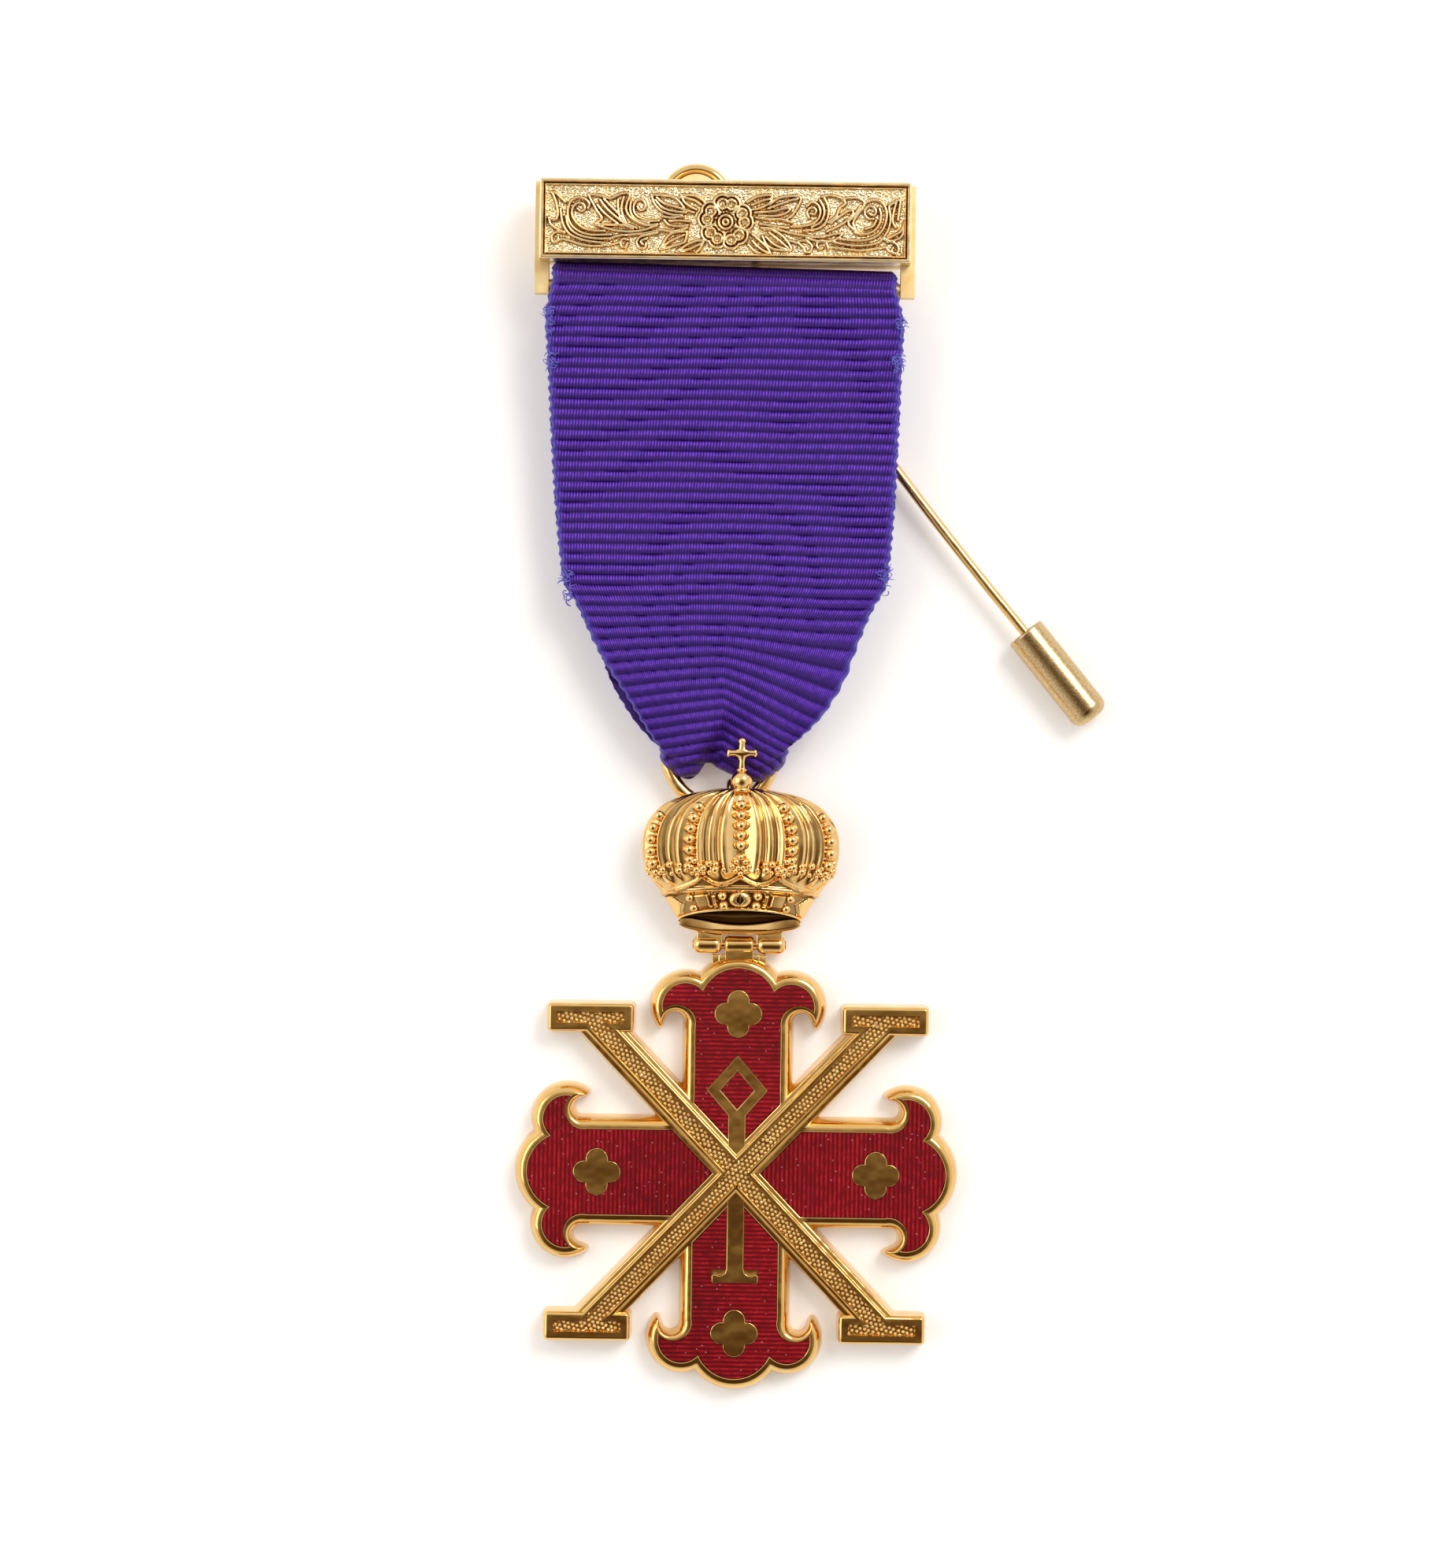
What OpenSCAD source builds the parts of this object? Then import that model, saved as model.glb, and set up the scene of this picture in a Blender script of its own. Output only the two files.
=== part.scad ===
// Order jewel: an enamelled cross under a saltire, hinged to a crown that hangs by a ring
// from a folded ribbon on a pin bar. Millimetres. It lies face up, and the origin is the
// centre of the cross on its flat back.

/* [Cross] */
// Half width of the enamel on the straight part of an arm
stem_half = 3.8; // [3.4:0.1:4.2]
// Reach of the enamel on the upright arms, from the centre of the cross
reach_upright = 18.25; // [17:0.25:20]
// Reach of the enamel on the side arms
reach_side = 18.6; // [17:0.1:20]
// Radius of the middle lobe at the end of an arm
lobe_r = 3.44; // [3.2:0.02:3.7]
// Radius of the curled lobe on each side of the middle one
curl_r = 2.05; // [1.9:0.05:2.2]
// Distance of a curled lobe's centre outside the stem
curl_out = 0.89; // [0.7:0.01:1.1]
// Radius of the hollow under each curl
hollow_r = 1.7; // [1.6:0.02:1.8]
// Depth of the hollow's centre below the lobes' centres
hollow_drop = 1.55; // [1.4:0.05:1.7]
// Width of the metal rim where it meets the back
rim_w = 1.18; // [1:0.02:1.3]
// Height of the rim above the back
rim_h = 2.3; // [2:0.1:2.6]
// Thickness of the metal under the enamel
floor_h = 1.2; // [0.8:0.1:1.5]
// Depth of the enamel's surface below the rim
enamel_sink = 0.05; // [0.02:0.01:0.2]

/* [Saltire] */
// Angle of the bars above the horizontal
saltire_angle = 46.3; // [44:0.1:48]
// Half width of a bar at the back
bar_foot = 1.84; // [1.7:0.02:2]
// Half width of a bar at the level of the enamel
bar_waist = 1.55; // [1.4:0.05:1.65]
// Half width of the flat on top of a bar
bar_ridge = 1.25; // [1:0.05:1.35]
// Height of the bars above the back
saltire_h = 2.6; // [2.5:0.1:3]
// Half width of the sunk channel along a bar
channel_half = 0.6; // [0.4:0.05:0.8]
// Depth of the channel
channel_sink = 0.3; // [0.2:0.05:0.4]
// Distance of a serif's middle from the upright axis
serif_x = 13.1; // [12.5:0.1:13.8]
// Length of a serif
serif_w = 7.95; // [7.5:0.05:8.4]
// Width of a serif
serif_h = 2.85; // [2.6:0.05:3.1]
// Length of the channel in a serif
serif_channel = 6; // [5:0.1:6.4]

/* [Charges] */
// Width of the staff behind the saltire
staff_w = 1.5; // [1.2:0.1:1.8]
// Height of the middle of the staff's open lozenge
lozenge_y = 7.4; // [7:0.1:8]
// Half width of the lozenge
lozenge_half_w = 2.7; // [2.4:0.1:3]
// Half height of the lozenge
lozenge_half_h = 3.1; // [2.8:0.1:3.3]
// Share of the lozenge that is open
lozenge_open = 0.56; // [0.4:0.02:0.65]
// Depth of the staff's foot below the centre of the cross
foot_y = 9.4; // [9:0.1:10]
// Width of the staff's foot
foot_w = 4.1; // [3.6:0.1:4.6]
// Distance of the florets on the upright arms from the centre
floret_upright = 14.2; // [13.8:0.1:14.6]
// Distance of the florets on the side arms from the centre
floret_side = 12.4; // [12:0.1:13.4]
// Radius of a floret's petal
petal_r = 0.98; // [0.8:0.02:1.1]

/* [Hinge] */
// Distance of the hinge's axis above the centre of the cross
hinge_y = 20.3; // [20.3:0.1:20.6]
// Height of the hinge's axis above the back
hinge_z = 1.3; // [1.2:0.1:1.5]
// Diameter of the knuckles
knuckle_d = 1.6; // [1.4:0.1:1.7]
// Width of the middle knuckle, on the cross
knuckle_mid = 2.6; // [2.2:0.1:3]
// Width over all three knuckles
knuckle_all = 8.3; // [7.8:0.1:8.8]
// Diameter of the hinge pin
hinge_pin_d = 0.8; // [0.6:0.05:0.9]
// Width of the lug that carries the middle knuckle
lug_w = 4.9; // [4:0.1:5.4]

/* [Crown] */
// Height of the crown's back plane above the table
crown_z = 2.6; // [2.5:0.05:2.8]
// Height of the open base's corners above the centre of the cross
crown_y = 22.26; // [22.2:0.02:22.6]
// Height of the cap above those corners
crown_h = 11.94; // [11:0.1:12.2]
// Greatest half width of the crown
crown_half = 8.72; // [8:0.05:9.2]
// Greatest depth of the crown's face
crown_depth = 3.2; // [2.8:0.1:3.6]
// Rise of the front of the open base over its corners
lip_rise = 0.91; // [0.7:0.01:1.1]
// Fall of the back of the open base under its corners
lip_fall = 0.98; // [0.8:0.01:1.05]
// Wall of the hollow crown
crown_wall = 1.2; // [1:0.1:1.4]
// Height of the arches over the cap
arch_h = 0.25; // [0.15:0.05:0.35]
// Radius of the pearls on the arches
pearl_r = 0.5; // [0.4:0.02:0.55]
// Radius of the orb
orb_r = 0.95; // [0.8:0.05:1.05]
// Height of the small cross over the orb's middle
finial_h = 3.9; // [3.4:0.1:4.4]
// Width of the small cross's bars
finial_w = 0.8; // [0.6:0.05:0.9]
// Width over the small cross's arms
finial_arms = 2.8; // [2.4:0.1:3.2]

/* [Ring] */
// Mean radius of the jump ring
ring_r = 4.725; // [4.6:0.025:4.9]
// Wire of the jump ring
ring_wire = 1.25; // [1:0.05:1.3]
// Sideways place of the ring and of all that hangs it
hang_x = -1.95; // [-2.1:0.05:-1.8]
// Height of the ring's centre above the centre of the cross
ring_y = 37.3; // [37.2:0.05:37.4]
// Height of the ring's plane above the table
ring_z = 1.75; // [1.7:0.05:1.8]
// Wire of the eye on the crown's back
eye_wire = 0.7; // [0.5:0.05:0.75]
// Inner radius of the eye
eye_r = 0.85; // [0.8:0.05:0.9]

/* [Ribbon] */
// Width of the hanging ribbon
ribbon_w = 31.5; // [30:0.5:31.6]
// Thickness of the ribbon's wall
ribbon_t = 1; // [0.8:0.1:1.1]
// Height of the lowest fold above the centre of the cross
fold_y = 35.2; // [35.2:0.05:35.4]
// Height of the back layer's underside over the lying pin
back_z = 2.35; // [2.35:0.05:2.6]

/* [Bar] */
// Sideways place of the middle of the bar
bar_x = -2.12; // [-2.4:0.02:-1.8]
// Height of the bar's lower edge above the centre of the cross
bar_y = 80.5; // [80.4:0.1:81]
// Width of the front panel
panel_w = 32.6; // [32:0.1:33]
// Height of the front panel
panel_h = 7.05; // [6.5:0.05:7.5]
// Thickness of the front panel
panel_t = 2.2; // [2:0.1:2.6]
// Width of the panel's raised border
border_w = 0.55; // [0.4:0.05:0.7]
// Depth of the panel's sunk field
field_sink = 0.7; // [0.5:0.05:0.9]
// Width of the back plate
plate_w = 33.56; // [33.2:0.02:34]
// Thickness of the back plate
plate_t = 2.35; // [2:0.05:2.6]
// Height of the back plate's underside above the table
plate_z = 2.4; // [2.4:0.05:2.6]
// Width of the two arms that carry the rod
arm_w = 1.25; // [1:0.05:1.3]
// Length of the arms below the rod's axis
arm_tip = 0.7; // [0.7:0.1:1.1]
// Diameter of the rod
rod_d = 1.2; // [1:0.05:1.3]
// Depth of the rod's axis below the bar's lower edge
rod_drop = 2.1; // [1.9:0.1:2.2]
// Height of the rod's axis above the table
rod_z = 4; // [4:0.05:4.1]

/* [Pin] */
// Sideways place of the pin's eye
eye_x = -4.75; // [-6:0.05:-4]
// Height of the pin's eye above the bar's lower edge
eye_rise = 6; // [5.7:0.05:6.3]
// Height of the pin's plane above the table
pin_z = 1.8; // [1.8:0.05:1.9]
// Wire of the pin
pin_wire = 0.9; // [0.7:0.05:0.95]
// Inner radius of the pin's eye
pin_eye_r = 2.3; // [2:0.05:2.5]
// Thickness of the head that keeps the eye on its post
post_head_t = 1.05; // [0.8:0.05:1.1]
// Direction in which the wire leaves the eye, from straight down towards the right
leave_angle = 33.9; // [30:0.1:38]
// Turn of the bowed wire over its length
bow_angle = 6.5; // [3:0.1:8]
// Length of the bowed wire
bow_len = 45.3; // [42:0.1:48]
// Direction of the straight end and of its cap
tip_angle = 39.4; // [38.5:0.1:41]
// Length of the straight end
tip_len = 8.4; // [7:0.1:9]
// Diameter of the cap
cap_d = 3.5; // [3:0.1:3.5]
// Length of the cap
cap_len = 9.8; // [9.5:0.1:11]

/* [Clearances] */
// Gap around each enamel filling
enamel_gap = 0.05; // [0.03:0.01:0.1]
// Radial gap of a running fit
run_gap = 0.05; // [0.03:0.01:0.08]
// Gap between the hinge's knuckles, and round other parts that move
move_gap = 0.2; // [0.15:0.01:0.3]
// Gap between the two plates of the bar
seat_gap = 0.05; // [0.03:0.01:0.1]

/* [Hidden] */
$fn = 64;

gilt = "#d9a441";
bright_gilt = "#e8b85a";
crimson = "#8e0e22";
purple = "#4a1a8e";
worn_brass = "#c9a767";

// Cross: places of the lobes, and the rim's section
curl_x = stem_half + curl_out;
hollow_x = stem_half + hollow_r - 0.04;
rim_top_w = 0.55 * rim_w;
hollow_share = 0.9;
hook_cut_angle = 20;
enamel_h = rim_h - enamel_sink - floor_h - enamel_gap;
beyond = 60;

// Saltire: the serifs stand where the bars' middles reach them
serif_y = serif_x * tan(saltire_angle);
serif_corner = 0.55;
serif_bevel = 0.3;
saltire_shoulder_h = rim_h - enamel_sink;
serif_channel_h = 0.8;
bar_reach = norm([serif_x, serif_y]);

// Hinge: knuckle places along the axis
knuckle_mid_end = knuckle_mid / 2;
knuckle_out_start = knuckle_mid_end + move_gap;
knuckle_end = knuckle_all / 2;
neck_t = 0.7 * knuckle_d;
weld = 0.2;
lug_end = hinge_y - knuckle_d / 2 - move_gap / 2;
crown_plate_y = hinge_y + knuckle_d / 2 + 1.5 * move_gap;
crown_plate_half = 0.916 * knuckle_end;
crown_plate_top = crown_y + 0.2 * crown_h;
hinge_bore_d = hinge_pin_d + 2 * run_gap;

// Crown: rows from the open base to the top of the cap, as shares of the crown's height,
// half width, depth and of the base's rise at the front
rise_col = 0;
half_col = 1;
depth_col = 2;
bow_col = 3;
crown_rows = [
    [0.000, 0.605, 0.81, 1.00],
    [0.120, 0.690, 0.86, 0.95],
    [0.225, 0.800, 0.91, 0.88],
    [0.310, 0.900, 0.95, 0.75],
    [0.430, 0.975, 0.98, 0.55],
    [0.560, 1.000, 1.00, 0.38],
    [0.690, 0.975, 0.98, 0.22],
    [0.800, 0.890, 0.94, 0.10],
    [0.895, 0.740, 0.85, 0.00],
    [0.960, 0.520, 0.73, 0.00],
    [1.000, 0.260, 0.60, 0.00]];
crown_turns = 24;
mouth_inset = 0.15;
cavity_first = 3;
cavity_last = 8;
// Arches: longitude on the cap and half width in degrees, then the rows that they cover
arch_longitudes = [-62, -31, 0, 31, 62];
arch_half_turn = [6, 7, 8, 7, 6];
arch_first = 2;
arch_last = 9;
arch_crest = 1.15;
// Pearls on an arch, between two levels of the cap
pearl_first = 0.37;
pearl_last = 0.86;
pearls = 6;
pearl_sides = 10;
// Headband: levels as shares of the cap's height, places as longitudes
band_level = 0.13;
band_boss_r = 0.85;
band_block = 1.3;
band_blocks = [-38, 38];
band_pearl_r = 0.35;
band_pearls = [-58, -20, 20, 58];
band_pearl_rise = 0.035;
fleuron_level = 0.29;
fleuron_r = 0.5;
fleurons = [-64, -31, 0, 31, 64];
fleuron_leaves = [[-4, 0], [4, 0], [0, 0.055]];
orb_y = crown_y + crown_h + 0.75 * orb_r;
orb_z = crown_z + 0.64 * crown_depth;
finial_arm_y = finial_h - 1.75;

// Eye on the crown's back: the ring runs through its lower end
crown_eye_x = hang_x + 0.95;
crown_eye_low = ring_y - ring_r + 0.17;
crown_eye_high = min(crown_eye_low + 1.15, fold_y - eye_r - eye_wire - 0.6 * move_gap);
crown_eye_mean = eye_r + eye_wire / 2;

// Ribbon: rows from the rod down the front, as shares of the drop from the rod to the fold,
// of the fall from the front of the rod to the gathered end, and of the ribbon's half width
drop_col = 0;
fall_col = 1;
wide_col = 2;
front_rows = [
    [0.00, 0.00, 1.000], [0.06, 0.08, 1.000], [0.16, 0.20, 0.997], [0.30, 0.32, 0.985],
    [0.45, 0.42, 0.965], [0.58, 0.48, 0.935], [0.66, 0.50, 0.825], [0.75, 0.50, 0.730],
    [0.82, 0.52, 0.660], [0.885, 0.60, 0.570], [0.930, 0.75, 0.455], [0.965, 0.92, 0.355]];
// Back layer, from the gathered end up to the rod: the fall is to the table here
back_rows = [
    [0.965, 1.00, 0.290], [0.92, 1.00, 0.400], [0.86, 1.00, 0.520], [0.76, 0.94, 0.660],
    [0.69, 0.60, 0.760], [0.63, 0.22, 0.850], [0.57, 0.00, 0.920], [0.40, 0.00, 0.970],
    [0.20, 0.00, 0.990], [0.05, 0.00, 0.985], [0.00, 0.00, 1.000]];
wrap_steps = 6;
ribbon_r = rod_d / 2 + seat_gap + ribbon_t / 2;
rod_front_z = rod_z + ribbon_r;
rod_half = plate_w / 2 - arm_w - move_gap;
gather_front_z = ring_z + ring_wire / 2 + 0.08 + ribbon_t / 2;
gather_back_z = 0.05 + ribbon_t / 2;
fold_half = 0.68 * ring_r;
fold_mid_y = fold_y + ribbon_t / 2;
fold_round = 0.6;
low_shift = 0.35;
strips = 14;
// Dip down the middle of the gathered front, as shares of the half width and of the wall
dip_start = 0.82;
dip_place = 0.05;
dip_spread = 0.22;
dip_share = 0.3;
// Notch between the two lobes of the lowest fold, round the eye of the crown
notch_h = 1.2;
notch_place = -0.2;
notch_spread = 0.54;

// Bar: levels of its two plates, and of the rod that its arms carry
panel_z = plate_z + plate_t + seat_gap;
rod_y = bar_y - rod_drop;
arm_len = rod_drop + arm_tip;
arm_lap = 1;
arm_t = 1.5;
arm_z = plate_z + plate_t - arm_t;
post_r = pin_eye_r - 2 * run_gap;
post_head_r = post_r + 0.6;
post_head_z = pin_z - pin_wire / 2 - 0.7 * move_gap - post_head_t;

// Panel's field: half sizes, then scrolls and buds on its right half, which the left mirrors.
// Their places are shares of the half sizes, their radii shares of the half height
field_half_w = panel_w / 2 - border_w;
field_half_h = panel_h / 2 - border_w;
field_z = panel_t - field_sink;
scroll_w = 0.46;
relief_h = 0.3;
relief_sink = 0.1;
x_col = 0;
y_col = 1;
r_col = 2;
from_col = 3;
turn_col = 4;
scrolls = [
    [0.33, -0.17, 0.57, -160, 250],
    [0.55, 0.20, 0.50, 20, 250],
    [0.79, -0.07, 0.64, -200, 280],
    [0.79, -0.07, 0.30, -60, 240]];
buds = [
    [0.22, 0.64, 0.14], [0.44, 0.64, 0.14], [0.66, 0.64, 0.14], [0.93, 0.64, 0.14],
    [0.20, -0.67, 0.14], [0.44, -0.67, 0.14], [0.60, -0.67, 0.14], [0.93, -0.67, 0.14]];
flower_petals = 6;
flower_r = 0.42;
flower_petal_r = 0.21;

// Pin: the bowed wire is an arc that leaves the eye's own wire
eye_y = bar_y + eye_rise;
pin_eye_mean = pin_eye_r + pin_wire / 2;
bow_r = bow_len / (bow_angle * PI / 180);
start_angle = -37.2;
start = [eye_x + pin_eye_mean * cos(start_angle), eye_y + pin_eye_mean * sin(start_angle)];
bow_centre = start + bow_r * [cos(leave_angle), sin(leave_angle)];
bow_end = bow_centre - bow_r * [cos(leave_angle + bow_angle), sin(leave_angle + bow_angle)];
cap_wall = 0.6;
cap_start = 0.35;
cap_edge_r = 0.2;
cap_mouth = 0.6;
cap_dome = 0.55 * cap_d / 2;
point_len = 1;
point_d = 0.2;
tip_d = pin_wire - 0.06;
tip_lap = 0.6;

// Skins a row of closed sections, all with the same number of points, and caps both ends
module skin(sections) {
    n = len(sections[0]);
    m = len(sections);
    points = [for (s = sections) for (p = s) p];
    sides = [for (i = [0 : m - 2]) for (j = [0 : n - 1])
        let (a = i * n + j, b = i * n + (j + 1) % n)
        each [[a, b, b + n], [a, b + n, a + n]]];
    first = [for (j = [n - 1 : -1 : 0]) j];
    last = [for (j = [0 : n - 1]) (m - 1) * n + j];
    polyhedron(points, concat(sides, [first, last]));
}

// Cross

// Outline of an arm's enamel, grown by g
module arm_face(reach, g) {
    lobe_y = reach - lobe_r;
    translate([-stem_half - g, 0]) square([2 * (stem_half + g), lobe_y]);
    difference() {
        union() {
            translate([0, lobe_y]) circle(r = lobe_r + g);
            for (s = [-1, 1]) translate([s * curl_x, lobe_y]) circle(r = curl_r + g);
        }
        for (s = [-1, 1])
            translate([s * hollow_x, lobe_y - hollow_drop]) circle(r = hollow_r - g);
    }
}

// Lobes at the end of an arm's metal, which draws in from the back to the rim's top
module arm_end(reach) {
    spare = 0.2;
    slope = hollow_share * (rim_w - rim_top_w) / rim_h;
    hollow_foot = hollow_r - hollow_share * rim_w;
    translate([0, reach - lobe_r, 0]) difference() {
        union() {
            cylinder(r1 = lobe_r + rim_w, r2 = lobe_r + rim_top_w, h = rim_h);
            for (s = [-1, 1]) translate([s * curl_x, 0, 0])
                cylinder(r1 = curl_r + rim_w, r2 = curl_r + rim_top_w, h = rim_h);
        }
        for (s = [0, 1]) mirror([s, 0, 0]) translate([hollow_x, -hollow_drop, -spare]) {
            cylinder(r1 = hollow_foot - slope * spare, r2 = hollow_foot + slope * (rim_h + spare),
                     h = rim_h + 2 * spare);
            rotate(-hook_cut_angle) translate([-hollow_r - 1, -8, 0])
                cube([hollow_r + 9, 8, rim_h + 2 * spare]);
        }
    }
}

// Straight part of two opposite arms
module stem(reach) {
    foot = stem_half + rim_w;
    top = stem_half + rim_top_w;
    end = reach - lobe_r;
    translate([0, end, 0]) rotate([90, 0, 0]) linear_extrude(2 * end)
        polygon([[-foot, 0], [foot, 0], [top, rim_h], [-top, rim_h]]);
}

module arms() {
    stem(reach_upright);
    rotate(90) stem(reach_side);
    for (i = [0 : 3]) rotate(90 * i) arm_end(i % 2 == 0 ? reach_upright : reach_side);
}

// Strips along both bars of the saltire, in plan
module bar_strips(half) {
    for (a = [-saltire_angle, saltire_angle])
        rotate(a) square([beyond, 2 * half], center = true);
}

module saltire() {
    for (a = [-saltire_angle, saltire_angle]) rotate([90, 0, 90 + a])
        translate([0, 0, -bar_reach]) linear_extrude(2 * bar_reach)
            polygon([[-bar_foot, 0], [bar_foot, 0], [bar_waist, saltire_shoulder_h],
                     [bar_ridge, saltire_h], [-bar_ridge, saltire_h],
                     [-bar_waist, saltire_shoulder_h]]);
    for (x = [-serif_x, serif_x], y = [-serif_y, serif_y]) translate([x, y, 0]) {
        linear_extrude(rim_h) rounded(serif_w, serif_h, serif_corner);
        linear_extrude(saltire_h)
            rounded(serif_w - 2 * serif_bevel, serif_h - 2 * serif_bevel, serif_corner);
    }
}

module saltire_channels() {
    translate([0, 0, saltire_h - channel_sink]) linear_extrude(1) {
        for (a = [-saltire_angle, saltire_angle])
            rotate(a) square([2 * bar_reach, 2 * channel_half], center = true);
        for (x = [-serif_x, serif_x], y = [-serif_y, serif_y])
            translate([x, y]) square([serif_channel, serif_channel_h], center = true);
    }
}

module rounded(w, h, r) {
    square([w - 2 * r, h], center = true);
    square([w, h - 2 * r], center = true);
    for (x = [r - w / 2, w / 2 - r], y = [r - h / 2, h / 2 - r])
        translate([x, y]) circle(r = r);
}

// Lozenge of the given half sizes, grown by g
module lozenge(a, b, g) {
    k = 1 + g * norm([a, b]) / (a * b);
    polygon([[a * k, 0], [0, b * k], [-a * k, 0], [0, -b * k]]);
}

// Staff with a lozenge head and a plain foot, grown by g
module staff(g) {
    foot_t = 0.8;
    translate([0, lozenge_y]) difference() {
        lozenge(lozenge_half_w, lozenge_half_h, g);
        lozenge(lozenge_half_w * lozenge_open, lozenge_half_h * lozenge_open, -g);
    }
    low = foot_y - foot_t / 2;
    shaft = lozenge_y - lozenge_half_h * lozenge_open - 0.1 + low;
    translate([-staff_w / 2 - g, -low]) square([staff_w + 2 * g, shaft]);
    translate([-foot_w / 2 - g, -foot_y - g]) square([foot_w + 2 * g, foot_t + 2 * g]);
}

// Four petals round a centre, grown by g
module floret(g) {
    for (a = [0 : 90 : 270]) rotate(a) translate([1.15 * petal_r, 0]) circle(r = petal_r + g);
    circle(r = 0.9 * petal_r + g);
}

module florets(g) {
    for (y = [-floret_upright, floret_upright]) translate([0, y]) floret(g);
    for (x = [-floret_side, floret_side]) translate([x, 0]) floret(g);
}

// Enamel cell of one arm, drawn in by g on every side: 0 is the top arm, then anticlockwise
module cell(i, g) {
    half_wedge = i % 2 == 0 ? 90 - saltire_angle : saltire_angle;
    difference() {
        intersection() {
            rotate(90 * i) arm_face(i % 2 == 0 ? reach_upright : reach_side, -g);
            rotate(90 * i) polygon([[0, 0], beyond * [-sin(half_wedge), cos(half_wedge)],
                                    beyond * [sin(half_wedge), cos(half_wedge)]]);
        }
        bar_strips(bar_waist + g);
        staff(g);
        florets(g);
        if (i == 0)
            translate([0, lozenge_y]) lozenge(lozenge_half_w * 0.8, lozenge_half_h * 0.8, 0);
    }
}

module lozenge_cell(g) {
    translate([0, lozenge_y])
        lozenge(lozenge_half_w * lozenge_open, lozenge_half_h * lozenge_open, -g);
}

module filling() {
    color(crimson) translate([0, 0, floor_h + enamel_gap]) linear_extrude(enamel_h) children();
}

module along_hinge(from, to) {
    translate([from, hinge_y, hinge_z]) rotate([0, 90, 0]) linear_extrude(to - from) children();
}

module cross_frame() {
    color(gilt) difference() {
        union() {
            arms();
            saltire();
            lug();
        }
        translate([0, 0, floor_h]) linear_extrude(2 * rim_h) {
            for (i = [0 : 3]) cell(i, 0);
            lozenge_cell(0);
        }
        saltire_channels();
        along_hinge(-knuckle_end, knuckle_end) circle(d = hinge_bore_d);
    }
}

module lug() {
    root = reach_upright - lobe_r / 4;
    translate([-lug_w / 2, root, hinge_z - neck_t / 2]) cube([lug_w, lug_end - root, neck_t]);
    translate([-knuckle_mid_end, root, hinge_z - neck_t / 2])
        cube([knuckle_mid, hinge_y - root, neck_t]);
    along_hinge(-knuckle_mid_end, knuckle_mid_end) circle(d = knuckle_d);
}

module enamel_top() { filling() cell(0, enamel_gap); }
module enamel_left() { filling() cell(1, enamel_gap); }
module enamel_bottom() { filling() cell(2, enamel_gap); }
module enamel_right() { filling() cell(3, enamel_gap); }
module enamel_lozenge() { filling() lozenge_cell(enamel_gap); }

module hinge_pin() {
    color(bright_gilt) along_hinge(-knuckle_end, knuckle_end) circle(d = hinge_pin_d);
}

// Crown

function mix(a, b, t) = a + (b - a) * t;

// Row of the crown's table at any share of its height
function crown_row(share) =
    let (i = max([for (k = [0 : len(crown_rows) - 2]) if (crown_rows[k][rise_col] <= share) k]),
         a = crown_rows[i], b = crown_rows[i + 1])
    mix(a, b, (share - a[rise_col]) / (b[rise_col] - a[rise_col]));

// Point of the face in row r at a longitude from -90 to 90 degrees, raised by lift
function crown_point(r, longitude, lift) = [
    (crown_half * r[half_col] + lift) * sin(longitude),
    crown_y + crown_h * r[rise_col] + lip_rise * r[bow_col] * cos(longitude),
    crown_z + (crown_depth * r[depth_col] + lift) * cos(longitude)];

function crown_section(r, lift, sink) = [for (i = [0 : crown_turns])
    let (p = crown_point(r, 90 - 180 * i / crown_turns, lift)) [p.x, p.y, p.z - sink]];

function mouth_section() = [for (i = [0 : crown_turns])
    let (t = 90 - 180 * i / crown_turns)
    [(crown_half * crown_rows[0][half_col] - mouth_inset) * sin(t),
     crown_y - lip_fall * cos(t) + mouth_inset * (1 - cos(t)) / 4 - 0.05, crown_z]];

// Edge of the hollow's mouth on the crown's back, at row i on side s
function cavity_edge(i, s) = [s * (crown_half * crown_rows[i][half_col] - crown_wall),
                              crown_y + crown_h * crown_rows[i][rise_col]];

module crown_shell() {
    sink = 0.01;
    difference() {
        skin(concat([mouth_section()], [for (r = crown_rows) crown_section(r, 0, 0)]));
        skin([for (i = [cavity_first : cavity_last])
            crown_section(crown_rows[i], -crown_wall, sink)]);
        translate([0, 0, crown_z - 1]) linear_extrude(1 + sink)
            polygon(concat([for (i = [cavity_first : cavity_last]) cavity_edge(i, 1)],
                           [for (i = [cavity_last : -1 : cavity_first]) cavity_edge(i, -1)]));
    }
}

module arches() {
    for (k = [0 : len(arch_longitudes) - 1]) {
        skin([for (i = [arch_first : arch_last])
            [for (q = [[1, -1], [1, 1], [0, arch_crest], [-1, 1], [-1, -1]])
                crown_point(crown_rows[i], arch_longitudes[k] + q[0] * arch_half_turn[k],
                            q[1] * arch_h)]]);
        for (i = [0 : pearls - 1])
            translate(crown_point(crown_row(mix(pearl_first, pearl_last, i / (pearls - 1))),
                                  arch_longitudes[k], arch_h))
                sphere(r = pearl_r, $fn = pearl_sides);
    }
}

module headband() {
    translate(crown_point(crown_row(band_level), 0, 0)) sphere(r = band_boss_r, $fn = 12);
    for (a = band_blocks) translate(crown_point(crown_row(band_level), a, 0)) rotate([0, a, 0])
        cube([band_block, band_block, band_block / 2], center = true);
    for (a = band_pearls, d = [-band_pearl_rise, band_pearl_rise])
        translate(crown_point(crown_row(band_level + d), a, 0))
            sphere(r = band_pearl_r, $fn = pearl_sides);
    for (a = fleurons, q = fleuron_leaves)
        translate(crown_point(crown_row(fleuron_level + q[1]), a + q[0], arch_h))
            sphere(r = fleuron_r, $fn = pearl_sides);
}

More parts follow.
